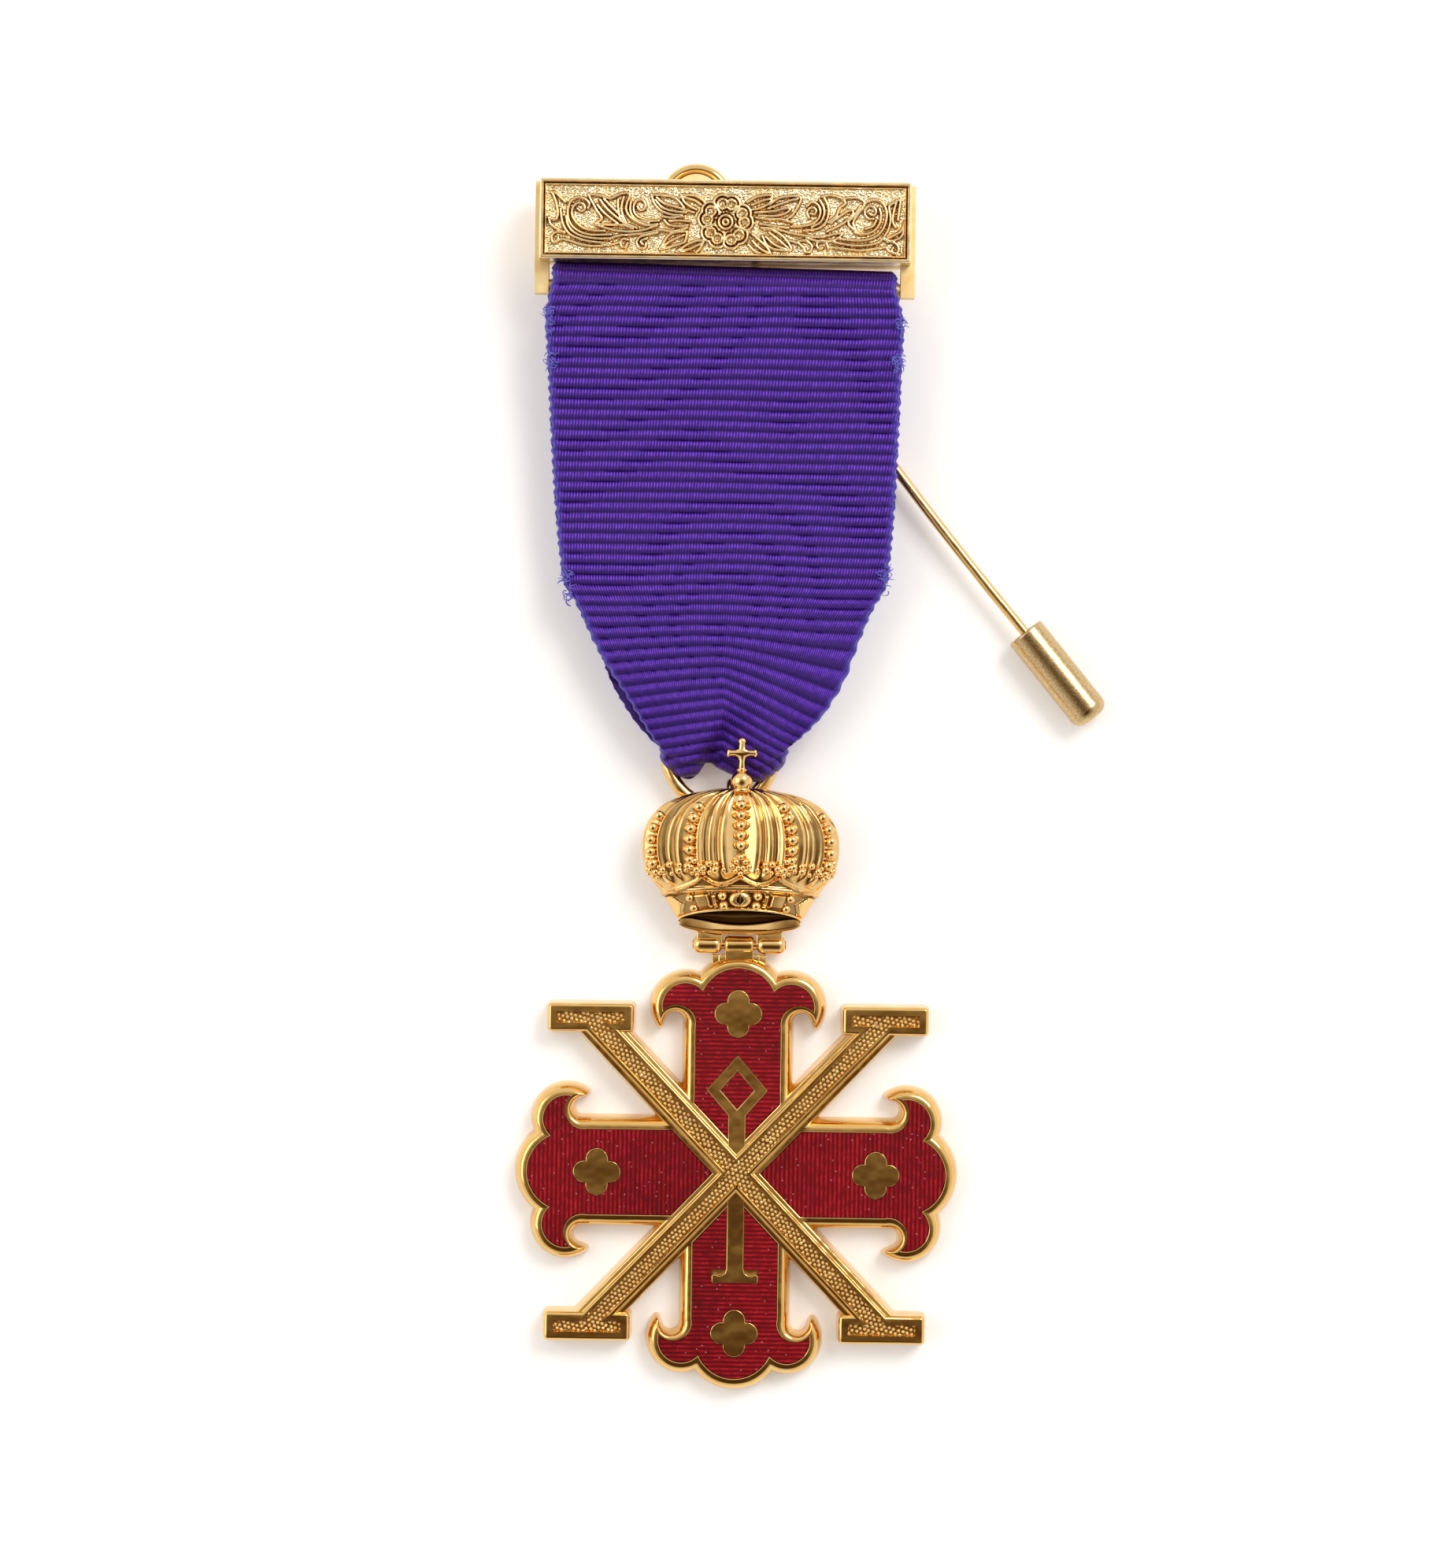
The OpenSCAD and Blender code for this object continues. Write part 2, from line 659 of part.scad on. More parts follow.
module finial() {
    translate([0, orb_y, orb_z]) {
        sphere(r = orb_r);
        translate([-finial_w / 2, 0, -finial_w / 2]) cube([finial_w, finial_h, finial_w]);
        translate([-finial_arms / 2, finial_arm_y, -finial_w / 2])
            cube([finial_arms, finial_w, finial_w]);
    }
}

// Stadium of wire in an upright plane, soldered to the crown's back
module crown_eye() {
    translate([crown_eye_x, 0, ring_z]) rotate([0, 90, 0]) {
        for (q = [[crown_eye_low, 180], [crown_eye_high, 0]]) translate([0, q[0], 0])
            rotate(q[1]) rotate_extrude(angle = 180) translate([crown_eye_mean, 0])
                circle(d = eye_wire);
        for (x = [-crown_eye_mean, crown_eye_mean]) translate([x, crown_eye_low, 0])
            rotate([-90, 0, 0]) cylinder(d = eye_wire, h = crown_eye_high - crown_eye_low);
    }
}

module crown_hinge() {
    for (s = [0, 1]) mirror([s, 0, 0]) {
        along_hinge(knuckle_out_start, knuckle_end) circle(d = knuckle_d);
        translate([knuckle_out_start, hinge_y, hinge_z - neck_t / 2])
            cube([crown_plate_half - knuckle_out_start, crown_plate_y - hinge_y + weld, neck_t]);
    }
    translate([-crown_plate_half, crown_plate_y, hinge_z - neck_t / 2])
        cube([2 * crown_plate_half, crown_plate_top - crown_plate_y,
              crown_z + weld - hinge_z + neck_t / 2]);
}

module crown() {
    color(bright_gilt) difference() {
        union() {
            crown_shell();
            arches();
            headband();
            finial();
            crown_eye();
            crown_hinge();
        }
        along_hinge(-knuckle_all, knuckle_all) circle(d = hinge_bore_d);
    }
}

module jump_ring() {
    color(bright_gilt) translate([hang_x, ring_y, ring_z])
        rotate_extrude() translate([ring_r, 0]) circle(d = ring_wire);
}

// Ribbon

// Middle of the wall, as [height, level, half width, sideways place, notch], round the loop
ribbon_drop = rod_y - fold_mid_y;
loop = concat(
    [for (r = front_rows) [rod_y - ribbon_drop * r[drop_col],
        mix(rod_front_z, gather_front_z, r[fall_col]), row_half(r), row_x(r), 0]],
    [for (i = [1 : wrap_steps]) let (a = 90 - 180 * i / (wrap_steps + 1))
        [fold_mid_y + fold_round * (1 - cos(a)),
         mix(gather_back_z, gather_front_z, (1 + sin(a)) / 2), fold_half, hang_x, notch_h]],
    [for (r = back_rows) [rod_y - ribbon_drop * r[drop_col],
        mix(back_z + ribbon_t / 2, gather_back_z, r[fall_col]), row_half(r), row_x(r), 0]],
    [for (i = [1 : wrap_steps]) let (a = -90 + 180 * i / (wrap_steps + 1))
        [rod_y + ribbon_r * cos(a), rod_z + ribbon_r * sin(a), rod_half, bar_x, 0]]);

// The rows beside the rod fit between the bar's arms, and the others follow the ribbon's width
function row_half(r) = r[drop_col] == 0 ? rod_half : ribbon_w / 2 * r[wide_col];
function row_x(r) = mix(bar_x, hang_x + low_shift, min(1, r[drop_col] / dip_start));

// Outward normal of the loop at a station, in the upright plane
function loop_normal(i) =
    let (n = len(loop), a = loop[(i + n - 1) % n], b = loop[(i + 1) % n],
         d = [b[0] - a[0], b[1] - a[1]])
    [d[1], -d[0]] / norm(d);

function bell(u, place, spread) = exp(-pow((u - place) / spread, 2));

function dip(i, u) =
    i < len(front_rows) && front_rows[i][drop_col] > dip_start
    ? dip_share * (front_rows[i][drop_col] - dip_start) / (1 - dip_start)
      * bell(u, dip_place, dip_spread)
    : 0;

function ribbon_place(i, u, side) =
    let (s = loop[i], nrm = loop_normal(i), k = side * ribbon_t / 2)
    [s[3] + u * s[2],
     s[0] + nrm[0] * k + s[4] * bell(u, notch_place, notch_spread),
     s[1] + nrm[1] * k - (side > 0 ? dip(i, u) : 0)];

function ribbon_section(i) = concat(
    [for (j = [0 : strips]) ribbon_place(i, 2 * j / strips - 1, 1)],
    [for (j = [strips : -1 : 0]) ribbon_place(i, 2 * j / strips - 1, -1)]);

// Closed loop of sections
module ribbon() {
    n = 2 * (strips + 1);
    m = len(loop);
    points = [for (i = [0 : m - 1]) each ribbon_section(i)];
    faces = [for (i = [0 : m - 1]) for (j = [0 : n - 1])
        let (a = i * n + j, b = i * n + (j + 1) % n, k = ((i + 1) % m) * n)
        each [[a, b, k + (j + 1) % n], [a, k + (j + 1) % n, k + j]]];
    color(purple) polyhedron(points, faces);
}

// Bar

// Arc of a ridge on the field
module scroll(row) {
    r = field_half_h * row[r_col];
    translate([field_half_w * row[x_col], field_half_h * row[y_col], 0])
        rotate(row[from_col]) rotate_extrude(angle = row[turn_col])
            polygon([[r - scroll_w / 2, -relief_sink], [r + scroll_w / 2, -relief_sink],
                     [r + scroll_w / 4, relief_h], [r - scroll_w / 4, relief_h]]);
}

module bud(r) {
    translate([0, 0, -relief_sink]) cylinder(r1 = r, r2 = r / 2, h = relief_sink + relief_h);
}

module flower() {
    bud(field_half_h * flower_petal_r);
    for (i = [1 : flower_petals]) rotate(360 / flower_petals * (i - 0.5))
        translate([field_half_h * flower_r, 0, 0]) bud(field_half_h * flower_petal_r);
}

module bar_panel() {
    color(gilt) translate([bar_x, bar_y + panel_h / 2, panel_z]) {
        difference() {
            translate([-panel_w / 2, -panel_h / 2, 0]) cube([panel_w, panel_h, panel_t]);
            translate([-field_half_w, -field_half_h, field_z])
                cube([2 * field_half_w, 2 * field_half_h, panel_t]);
        }
        translate([0, 0, field_z]) {
            flower();
            for (s = [0, 1]) mirror([s, 0, 0]) {
                for (row = scrolls) scroll(row);
                for (row = buds)
                    translate([field_half_w * row[x_col], field_half_h * row[y_col], 0])
                        bud(field_half_h * row[r_col]);
            }
        }
    }
}

module bar_back() {
    color(bright_gilt) {
        translate([bar_x - plate_w / 2, bar_y, plate_z]) cube([plate_w, panel_h, plate_t]);
        for (s = [-1, 1]) translate([bar_x + s * (plate_w - arm_w) / 2, 0, 0])
            translate([-arm_w / 2, bar_y - arm_len, arm_z])
                cube([arm_w, arm_len + arm_lap, arm_t]);
        translate([bar_x - plate_w / 2 + arm_w / 2, rod_y, rod_z]) rotate([0, 90, 0])
            cylinder(d = rod_d, h = plate_w - arm_w);
        translate([eye_x, eye_y, post_head_z]) {
            cylinder(r = post_r, h = plate_z + weld - post_head_z);
            cylinder(r = post_head_r, h = post_head_t);
        }
    }
}

// Pin

module at_tip() {
    translate([bow_end.x, bow_end.y, pin_z]) rotate([0, 90, tip_angle - 90]) children();
}

module pin_wire() {
    color(bright_gilt) {
        translate([eye_x, eye_y, pin_z]) rotate_extrude() translate([pin_eye_mean, 0])
            circle(d = pin_wire);
        translate([bow_centre.x, bow_centre.y, pin_z]) rotate(180 + leave_angle)
            rotate_extrude(angle = bow_angle, $fn = 360) translate([bow_r, 0])
                circle(d = pin_wire, $fn = 32);
        at_tip() {
            translate([0, 0, -tip_lap]) cylinder(d = tip_d, h = tip_lap + tip_len - point_len);
            translate([0, 0, tip_len - point_len])
                cylinder(d1 = tip_d, d2 = point_d, h = point_len);
        }
    }
}

module pin_cap() {
    cap_r = cap_d / 2;
    straight = cap_len - cap_dome;
    color(worn_brass) at_tip() translate([0, 0, cap_start]) rotate_extrude() difference() {
        union() {
            square([cap_r - cap_edge_r, straight]);
            translate([0, cap_edge_r]) square([cap_r, straight - cap_edge_r]);
            translate([cap_r - cap_edge_r, cap_edge_r]) circle(r = cap_edge_r);
            translate([cap_r - cap_dome, straight]) circle(r = cap_dome);
            square([cap_r - cap_dome, cap_len]);
        }
        translate([-cap_r, -1]) square([cap_r, cap_len + 2]);
        square([tip_d / 2 + run_gap, tip_len + cap_edge_r]);
        square([cap_r - cap_wall, cap_mouth]);
    }
}

cross_frame();
enamel_top();
enamel_left();
enamel_bottom();
enamel_right();
enamel_lozenge();
hinge_pin();
crown();
jump_ring();
ribbon();
bar_panel();
bar_back();
pin_wire();
pin_cap();
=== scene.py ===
import math
import bpy
import numpy as np
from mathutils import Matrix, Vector


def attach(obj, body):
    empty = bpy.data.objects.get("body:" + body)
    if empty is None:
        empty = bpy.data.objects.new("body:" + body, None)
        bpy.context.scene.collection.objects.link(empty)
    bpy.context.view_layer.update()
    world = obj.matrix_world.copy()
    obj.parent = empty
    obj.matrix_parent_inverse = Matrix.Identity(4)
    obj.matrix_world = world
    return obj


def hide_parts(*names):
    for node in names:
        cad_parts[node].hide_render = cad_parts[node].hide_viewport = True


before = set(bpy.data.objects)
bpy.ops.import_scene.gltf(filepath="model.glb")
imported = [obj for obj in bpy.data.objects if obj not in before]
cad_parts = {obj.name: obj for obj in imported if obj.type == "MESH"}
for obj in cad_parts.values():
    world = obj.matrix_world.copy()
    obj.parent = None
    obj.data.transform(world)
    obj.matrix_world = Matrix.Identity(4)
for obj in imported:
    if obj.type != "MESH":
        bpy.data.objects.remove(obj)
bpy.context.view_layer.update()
mm = 0.001  # meshes are made in millimetres, as the jewel was measured


# Helpers for nodes

def linear(hexColour):
    # sRGB hex to the linear colour that the shaders take
    parts = [int(hexColour[i:i + 2], 16) / 255 for i in (1, 3, 5)]
    return [c / 12.92 if c <= 0.04045 else ((c + 0.055) / 1.055) ** 2.4 for c in parts] + [1.0]


def addNode(tree, kind, settings=None, values=None, links=None):
    # one node: settings are its properties, values and links go to its inputs
    node = tree.nodes.new(kind)
    for key, value in (settings or {}).items():
        setattr(node, key, value)
    for key, value in (values or {}).items():
        node.inputs[key].default_value = value
    for key, source in (links or {}).items():
        tree.links.new(source, node.inputs[key])
    return node


def newMaterial(name):
    material = bpy.data.materials.new(name)
    material.use_nodes = True
    tree = material.node_tree
    return material, tree, tree.nodes["Principled BSDF"]


def setShader(shader, values):
    for key, value in values.items():
        shader.inputs[key].default_value = value


def setRamp(node, stops):
    ramp = node.color_ramp
    while len(ramp.elements) < len(stops):
        ramp.elements.new(0.5)
    for element, (place, colour) in zip(ramp.elements, stops):
        element.position = place
        element.color = linear(colour) if isinstance(colour, str) else [colour] * 3 + [1]


# Helpers for meshes

def addPiece(name, points, faces, material, body=None, sharp=40):
    mesh = bpy.data.meshes.new(name)
    mesh.from_pydata((np.asarray(points, dtype=float) * mm).tolist(), [], faces)
    mesh.materials.append(material)
    item = bpy.data.objects.new(name, mesh)
    bpy.context.scene.collection.objects.link(item)
    shade(mesh, sharp)
    if body:
        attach(item, body)
    return item


def shade(mesh, sharp):
    mesh.polygons.foreach_set("use_smooth", [True] * len(mesh.polygons))
    mesh.set_sharp_from_angle(angle=math.radians(sharp))


def gridFaces(rows, cols, closed=False):
    # quads over a grid of points; closed joins the last column to the first
    last = cols if closed else cols - 1
    faces = []
    for i in range(rows - 1):
        for j in range(last):
            a, b = i * cols + j, i * cols + (j + 1) % cols
            faces.append((a, b, b + cols, a + cols))
    return faces


def slabOver(x, y, z, low, at=(0, 0)):
    # closed slab under a field of heights, with straight sides down to a flat back
    rows, cols = x.shape
    x, y = x + at[0], y + at[1]
    edge = [i * cols for i in range(rows)] + list(range((rows - 1) * cols + 1, rows * cols))
    edge += [i * cols + cols - 1 for i in range(rows - 2, -1, -1)]
    edge += list(range(cols - 2, 0, -1))
    n, k = rows * cols, len(edge)
    top = np.column_stack([x.ravel(), y.ravel(), z.ravel()])
    foot = top[edge] * (1, 1, 0) + (0, 0, low)
    faces = gridFaces(rows, cols)
    faces += [(edge[(i + 1) % k], edge[i], n + i, n + (i + 1) % k) for i in range(k)]
    faces.append(tuple(range(n, n + k)))
    return np.concatenate([top, foot]), faces


def loft(loops):
    # closed solid through loops with equal counts, from the first up to the last
    loops = np.asarray(loops, dtype=float)
    rows, cols = loops.shape[:2]
    faces = gridFaces(rows, cols, closed=True)
    faces.append(tuple(range(cols - 1, -1, -1)))
    faces.append(tuple(range((rows - 1) * cols, rows * cols)))
    return loops.reshape(-1, 3), faces


def atLevel(outline, z):
    outline = np.asarray(outline, dtype=float)
    return np.column_stack([outline, np.full(len(outline), z)])


def grow(outline, by):
    # moves each corner of an anticlockwise outline out along its mitre
    p = np.asarray(outline, dtype=float)
    ahead = np.roll(p, -1, axis=0) - p
    ahead /= np.linalg.norm(ahead, axis=1)[:, None]
    out = np.column_stack([ahead[:, 1], -ahead[:, 0]])
    back = np.roll(out, 1, axis=0)
    mitre = out + back
    mitre /= np.maximum(0.35, (mitre ** 2).sum(axis=1) / 2)[:, None]
    return p + by * mitre


def bevelled(outline, low, high, bevel, steps=3):
    # prism with a rounded upper edge
    loops = [atLevel(outline, low)]
    for k in range(steps + 1):
        a = math.pi / 2 * k / steps
        loops.append(atLevel(grow(outline, -bevel * (1 - math.cos(a))),
                             high - bevel * (1 - math.sin(a))))
    return loft(loops)


def roundedBox(centre, size, radius, steps=4):
    outline = []
    w, h = size[0] / 2 - radius, size[1] / 2 - radius
    for sx, sy, start in ((1, 1, 0), (-1, 1, 90), (-1, -1, 180), (1, -1, 270)):
        for k in range(steps + 1):
            a = math.radians(start + 90 * k / steps)
            outline.append((centre[0] + sx * w + radius * math.cos(a),
                            centre[1] + sy * h + radius * math.sin(a)))
    return outline


def smoothTable(rows, at):
    # values of a table at any place in its first column, by smooth interpolation
    rows = np.asarray(rows, dtype=float)
    if rows[0, 0] > rows[-1, 0]:
        rows = rows[::-1]
    slope = np.gradient(rows[:, 1:], rows[:, 0], axis=0)
    k = np.clip(np.searchsorted(rows[:, 0], at, side="right") - 1, 0, len(rows) - 2)
    w = (rows[k + 1, 0] - rows[k, 0])[..., None]
    t = (np.asarray(at) - rows[k, 0])[..., None] / w
    return ((2 * t ** 3 - 3 * t ** 2 + 1) * rows[k, 1:] + (t ** 3 - 2 * t ** 2 + t) * w * slope[k]
            + (3 * t ** 2 - 2 * t ** 3) * rows[k + 1, 1:] + (t ** 3 - t ** 2) * w * slope[k + 1])


def rounded(value, low, high):
    t = np.clip((value - low) / (high - low), 0, 1)
    return t * t * (3 - 2 * t)


def lathe(profile, turns=32):
    # closed solid round the x axis: profile holds (x, radius) from left to right
    angles = np.arange(turns) / turns * 2 * math.pi
    loops = [np.column_stack([np.full(turns, x), r * np.cos(angles), r * np.sin(angles)])
             for x, r in profile]
    return loft(loops)


def ball(centre, radius, turns=20):
    steps = turns // 2
    profile = [(-radius * math.cos(math.pi * k / steps), radius * math.sin(math.pi * k / steps))
               for k in range(steps + 1)]
    profile[0] = (profile[0][0], radius * 0.02)
    profile[-1] = (profile[-1][0], radius * 0.02)
    return moved(lathe(profile, turns), centre)


def merge(solids):
    # several (points, faces) as one
    points, faces, count = [], [], 0
    for part, sides in solids:
        points.append(part)
        faces += [tuple(i + count for i in f) for f in sides]
        count += len(part)
    return np.concatenate(points), faces


def turned(solid, degrees):
    points, faces = solid
    a = math.radians(degrees)
    turn = np.array([[math.cos(a), math.sin(a), 0], [-math.sin(a), math.cos(a), 0], [0, 0, 1]])
    return points @ turn, faces


def moved(solid, by):
    return solid[0] + np.asarray(by), solid[1]


def settle(item, sharp):
    # applies the modifiers and shades the result
    bpy.context.view_layer.update()
    seen = item.evaluated_get(bpy.context.evaluated_depsgraph_get())
    mesh = bpy.data.meshes.new_from_object(seen)
    item.modifiers.clear()
    item.data = mesh
    shade(mesh, sharp)


def combine(item, solids, operation, sharp=30):
    # joins solids to the piece or cuts them out of it, one by one
    for points, faces in solids:
        tool = addPiece("tool", points, faces, item.data.materials[0])
        change = item.modifiers.new("change", "BOOLEAN")
        change.solver, change.operation, change.object = "MANIFOLD", operation, tool
        settle(item, sharp)
        bpy.data.objects.remove(tool)


def evenNormals(item):
    # large flats keep flat beside rounded edges
    even = item.modifiers.new("evenNormals", "WEIGHTED_NORMAL")
    even.keep_sharp = True
    even.weight = 60


# Studio

studio = {
    "cameraAt": (-1.25, 34.6, 350.0), "cameraTurn": 0.8, "halfView": 0.2003, "sensor": 36,
    "lampAim": (0.0, 35.0, 0.0),
    "floorSize": 4000.0, "floorZ": -0.02, "floorWhite": "#F6F6F4",
    "floorGlow": 0.16, "glowTint": "#FFF0EC",
    "keyAt": (260.0, 330.0, 420.0), "keySize": 260.0, "keyPower": 1.5,
    "fillAt": (-330.0, 60.0, 300.0), "fillSize": 320.0, "fillPower": 0.45,
    # the room is dark round the photographer, who leans over the jewel's foot
    "darkTowards": (0.0, -0.42, 0.9075), "sky": [
        (0.0, 0.95), (0.64, 0.95), (0.76, 0.72), (0.85, "#BAB0A2"), (0.91, "#968870"),
        (0.96, "#624E38"), (1.0, "#48361F")],
}


def makeStudio():
    scene = bpy.context.scene
    scene.view_settings.view_transform = "Standard"
    camera = bpy.data.objects.new("camera", bpy.data.cameras.new("camera"))
    scene.collection.objects.link(camera)
    camera.location = [v * mm for v in studio["cameraAt"]]
    camera.rotation_euler = (0, 0, math.radians(studio["cameraTurn"]))
    camera.data.sensor_width = studio["sensor"]
    camera.data.lens = studio["sensor"] / 2 / studio["halfView"]
    camera.data.clip_start, camera.data.clip_end = 0.01, 20
    scene.camera = camera
    for name in ("key", "fill"):
        lamp = bpy.data.lights.new(name, "AREA")
        lamp.size = studio[name + "Size"] * mm
        lamp.energy = studio[name + "Power"]
        item = bpy.data.objects.new(name, lamp)
        scene.collection.objects.link(item)
        item.location = [v * mm for v in studio[name + "At"]]
        aim = Vector([v * mm for v in studio["lampAim"]]) - item.location
        item.rotation_euler = aim.to_track_quat("-Z", "Y").to_euler()
    world = bpy.data.worlds.new("softRoom")
    scene.world = world
    world.use_nodes = True
    tree = world.node_tree
    tree.nodes.clear()
    place = addNode(tree, "ShaderNodeTexCoord")
    towards = addNode(tree, "ShaderNodeVectorMath", {"operation": "DOT_PRODUCT"},
                      {1: studio["darkTowards"]}, {0: place.outputs["Generated"]})
    sky = addNode(tree, "ShaderNodeValToRGB", links={"Fac": towards.outputs["Value"]})
    setRamp(sky, studio["sky"])
    back = addNode(tree, "ShaderNodeBackground", links={"Color": sky.outputs["Color"]})
    addNode(tree, "ShaderNodeOutputWorld", links={"Surface": back.outputs["Background"]})
    half = studio["floorSize"] / 2
    paper, _, shader = newMaterial("paperWhite")
    # lit a little from below, as on a light table, so that shadows stay pale and warm
    setShader(shader, {"Base Color": linear(studio["floorWhite"]), "Roughness": 0.9,
                       "Emission Color": linear(studio["glowTint"]),
                       "Emission Strength": studio["floorGlow"]})
    low = studio["floorZ"]
    corners = [(-half, -half, low), (half, -half, low), (half, half, low), (-half, half, low)]
    addPiece("floor", corners, [(0, 1, 2, 3)], paper)
    print("studio made")


# Materials

def makeGilt(name, colour, roughness, rubbed, paintedShade="#2E1A06"):
    # gilding over cast brass: warm mirror with faint waves, paler where it was rubbed, and
    # brown painted shade in the hollows that a piece marks
    material, tree, shader = newMaterial(name)
    place = addNode(tree, "ShaderNodeTexCoord").outputs["Object"]
    patch = addNode(tree, "ShaderNodeTexNoise", values={"Scale": 450.0, "Detail": 3.0},
                    links={"Vector": place})
    shine = addNode(tree, "ShaderNodeMapRange", links={"Value": patch.outputs["Fac"]},
                    values={"From Min": 0.35, "From Max": 0.7,
                            "To Min": roughness, "To Max": roughness * 1.7})
    tree.links.new(shine.outputs["Result"], shader.inputs["Roughness"])
    tint = addNode(tree, "ShaderNodeValToRGB", links={"Fac": patch.outputs["Fac"]})
    setRamp(tint, [(0.35, colour), (0.75, rubbed)])
    # painted shade: the hollow values of a piece darken its gilding towards this colour
    hollow = addNode(tree, "ShaderNodeAttribute", {"attribute_name": "hollow"})
    shadeMix = addNode(tree, "ShaderNodeMix", {"data_type": "RGBA"}, {"B": linear(paintedShade)},
                    {"Factor": hollow.outputs["Fac"], "A": tint.outputs["Color"]})
    tree.links.new(shadeMix.outputs["Result"], shader.inputs["Base Color"])
    # slow waves of hand polishing bend the reflections on the flats
    slow = addNode(tree, "ShaderNodeTexNoise", values={"Scale": 330.0, "Detail": 2.0},
                   links={"Vector": place})
    bump = addNode(tree, "ShaderNodeBump", links={"Height": slow.outputs["Fac"]},
                   values={"Strength": 0.5, "Distance": 0.00025})
    tree.links.new(bump.outputs["Normal"], shader.inputs["Normal"])
    setShader(shader, {"Metallic": 1.0})
    return material


def addValues(item, name, values):
    # one number for each point, which the item's material reads by name
    layer = item.data.attributes.new(name, "FLOAT", "POINT")
    layer.data.foreach_set("value", np.asarray(values, dtype=np.float32).ravel())


makeStudio()
# the last colour, where one is given, is the painted shade in a piece's hollows
giltCast = makeGilt("giltCast", "#ECC27A", 0.09, "#E0B268")
giltBright = makeGilt("giltBright", "#F2CA88", 0.08, "#ECBC74", "#3A1E06")
giltStamped = makeGilt("giltStamped", "#FFEBC0", 0.2, "#FADCA0", "#9A6418")
giltWire = makeGilt("giltWire", "#ECC684", 0.1, "#E2B872")
giltSatin = makeGilt("giltSatin", "#F8DEA8", 0.42, "#F0D090")
giltChased = makeGilt("giltChased", "#F6D8A0", 0.24, "#E8C080", "#140A02")


# Cross: one casting with rims, saltire, staff and florets

cross = {
    "stemHalf": 3.8, "reach": (18.25, 18.6), "lobeR": 3.44, "curlR": 2.05, "curlX": 4.69,
    "hollowR": 1.7, "hollowX": 0.77, "hollowDrop": 1.55, "rimW": 1.18,
    "footShift": (0.24, 0.11), "footHollow": 0.96,
    "ridgeEnd": 0.6, "tipFoot": (2.285, -1.785), "tipR": 0.33,
    # the rim's section: distance from the enamel, height above the back
    "rim": [(1.18, 0.0), (1.17, 0.12), (1.1, 0.8), (1.02, 1.3), (0.92, 1.66), (0.8, 1.93),
            (0.67, 2.11), (0.53, 2.23), (0.42, 2.28), (0.36, 2.3), (0.06, 2.3), (0.02, 2.27),
            (0.0, 2.22), (0.0, 1.22)],
    "saltireAngle": 46.3, "serifAt": (13.1, 13.71), "serifSize": (7.95, 2.85),
    "bar": [(1.84, 0.0), (1.83, 0.1), (1.62, 1.95), (1.58, 2.14), (1.51, 2.26), (1.42, 2.3),
            (1.2, 2.31), (1.12, 2.35), (1.04, 2.49), (0.98, 2.56), (0.9, 2.6), (0.74, 2.6),
            (0.68, 2.58), (0.64, 2.5)],
    "channelHalf": (0.56, 0.66), "channelFloor": 2.2, "slot": (6.0, 0.8), "slotFlare": 0.25,
    "staffW": 1.5, "lozengeY": 7.4, "lozenge": (2.7, 3.1), "lozengeOpen": 0.56,
    "footY": 9.4, "chargeLow": 1.0, "chargeTop": 2.32, "chargeBevel": 0.07,
    # the enamel's floor, and a level that every cut reaches above
    "enamelFloor": 1.22, "cutTop": 3.2,
    "floretAt": (14.2, 12.4), "petalR": 0.98, "petalOut": 1.15,
    # block of a serif: corner radius, then inset and height up its side
    "serifCorner": 0.5, "serif": [(0.0, 0.0), (0.01, 0.1), (0.14, 2.2), (0.17, 2.36),
                                  (0.24, 2.48), (0.34, 2.57), (0.46, 2.6)],
    "hinge": (20.3, 1.3), "knuckleR": 0.8, "knuckleEdge": 0.3, "knuckleMid": 2.6, "boreR": 0.45,
    # blocks of the lug: width, from and to above the centre, low and high, edge radius
    "lug": [(4.9, 17.4, 19.44, 0.74, 1.3, 0.12), (3.7, 17.4, 19.44, 0.9, 1.6, 0.12),
            (2.5, 19.0, 20.3, 0.76, 1.84, 0.08)],
}


def arc(centre, radius, start, end, count):
    a = np.radians(np.linspace(start, end, count))
    return [(centre[0] + radius * math.cos(t), centre[1] + radius * math.sin(t)) for t in a]


def heading(vector):
    return math.degrees(math.atan2(vector[1], vector[0]))


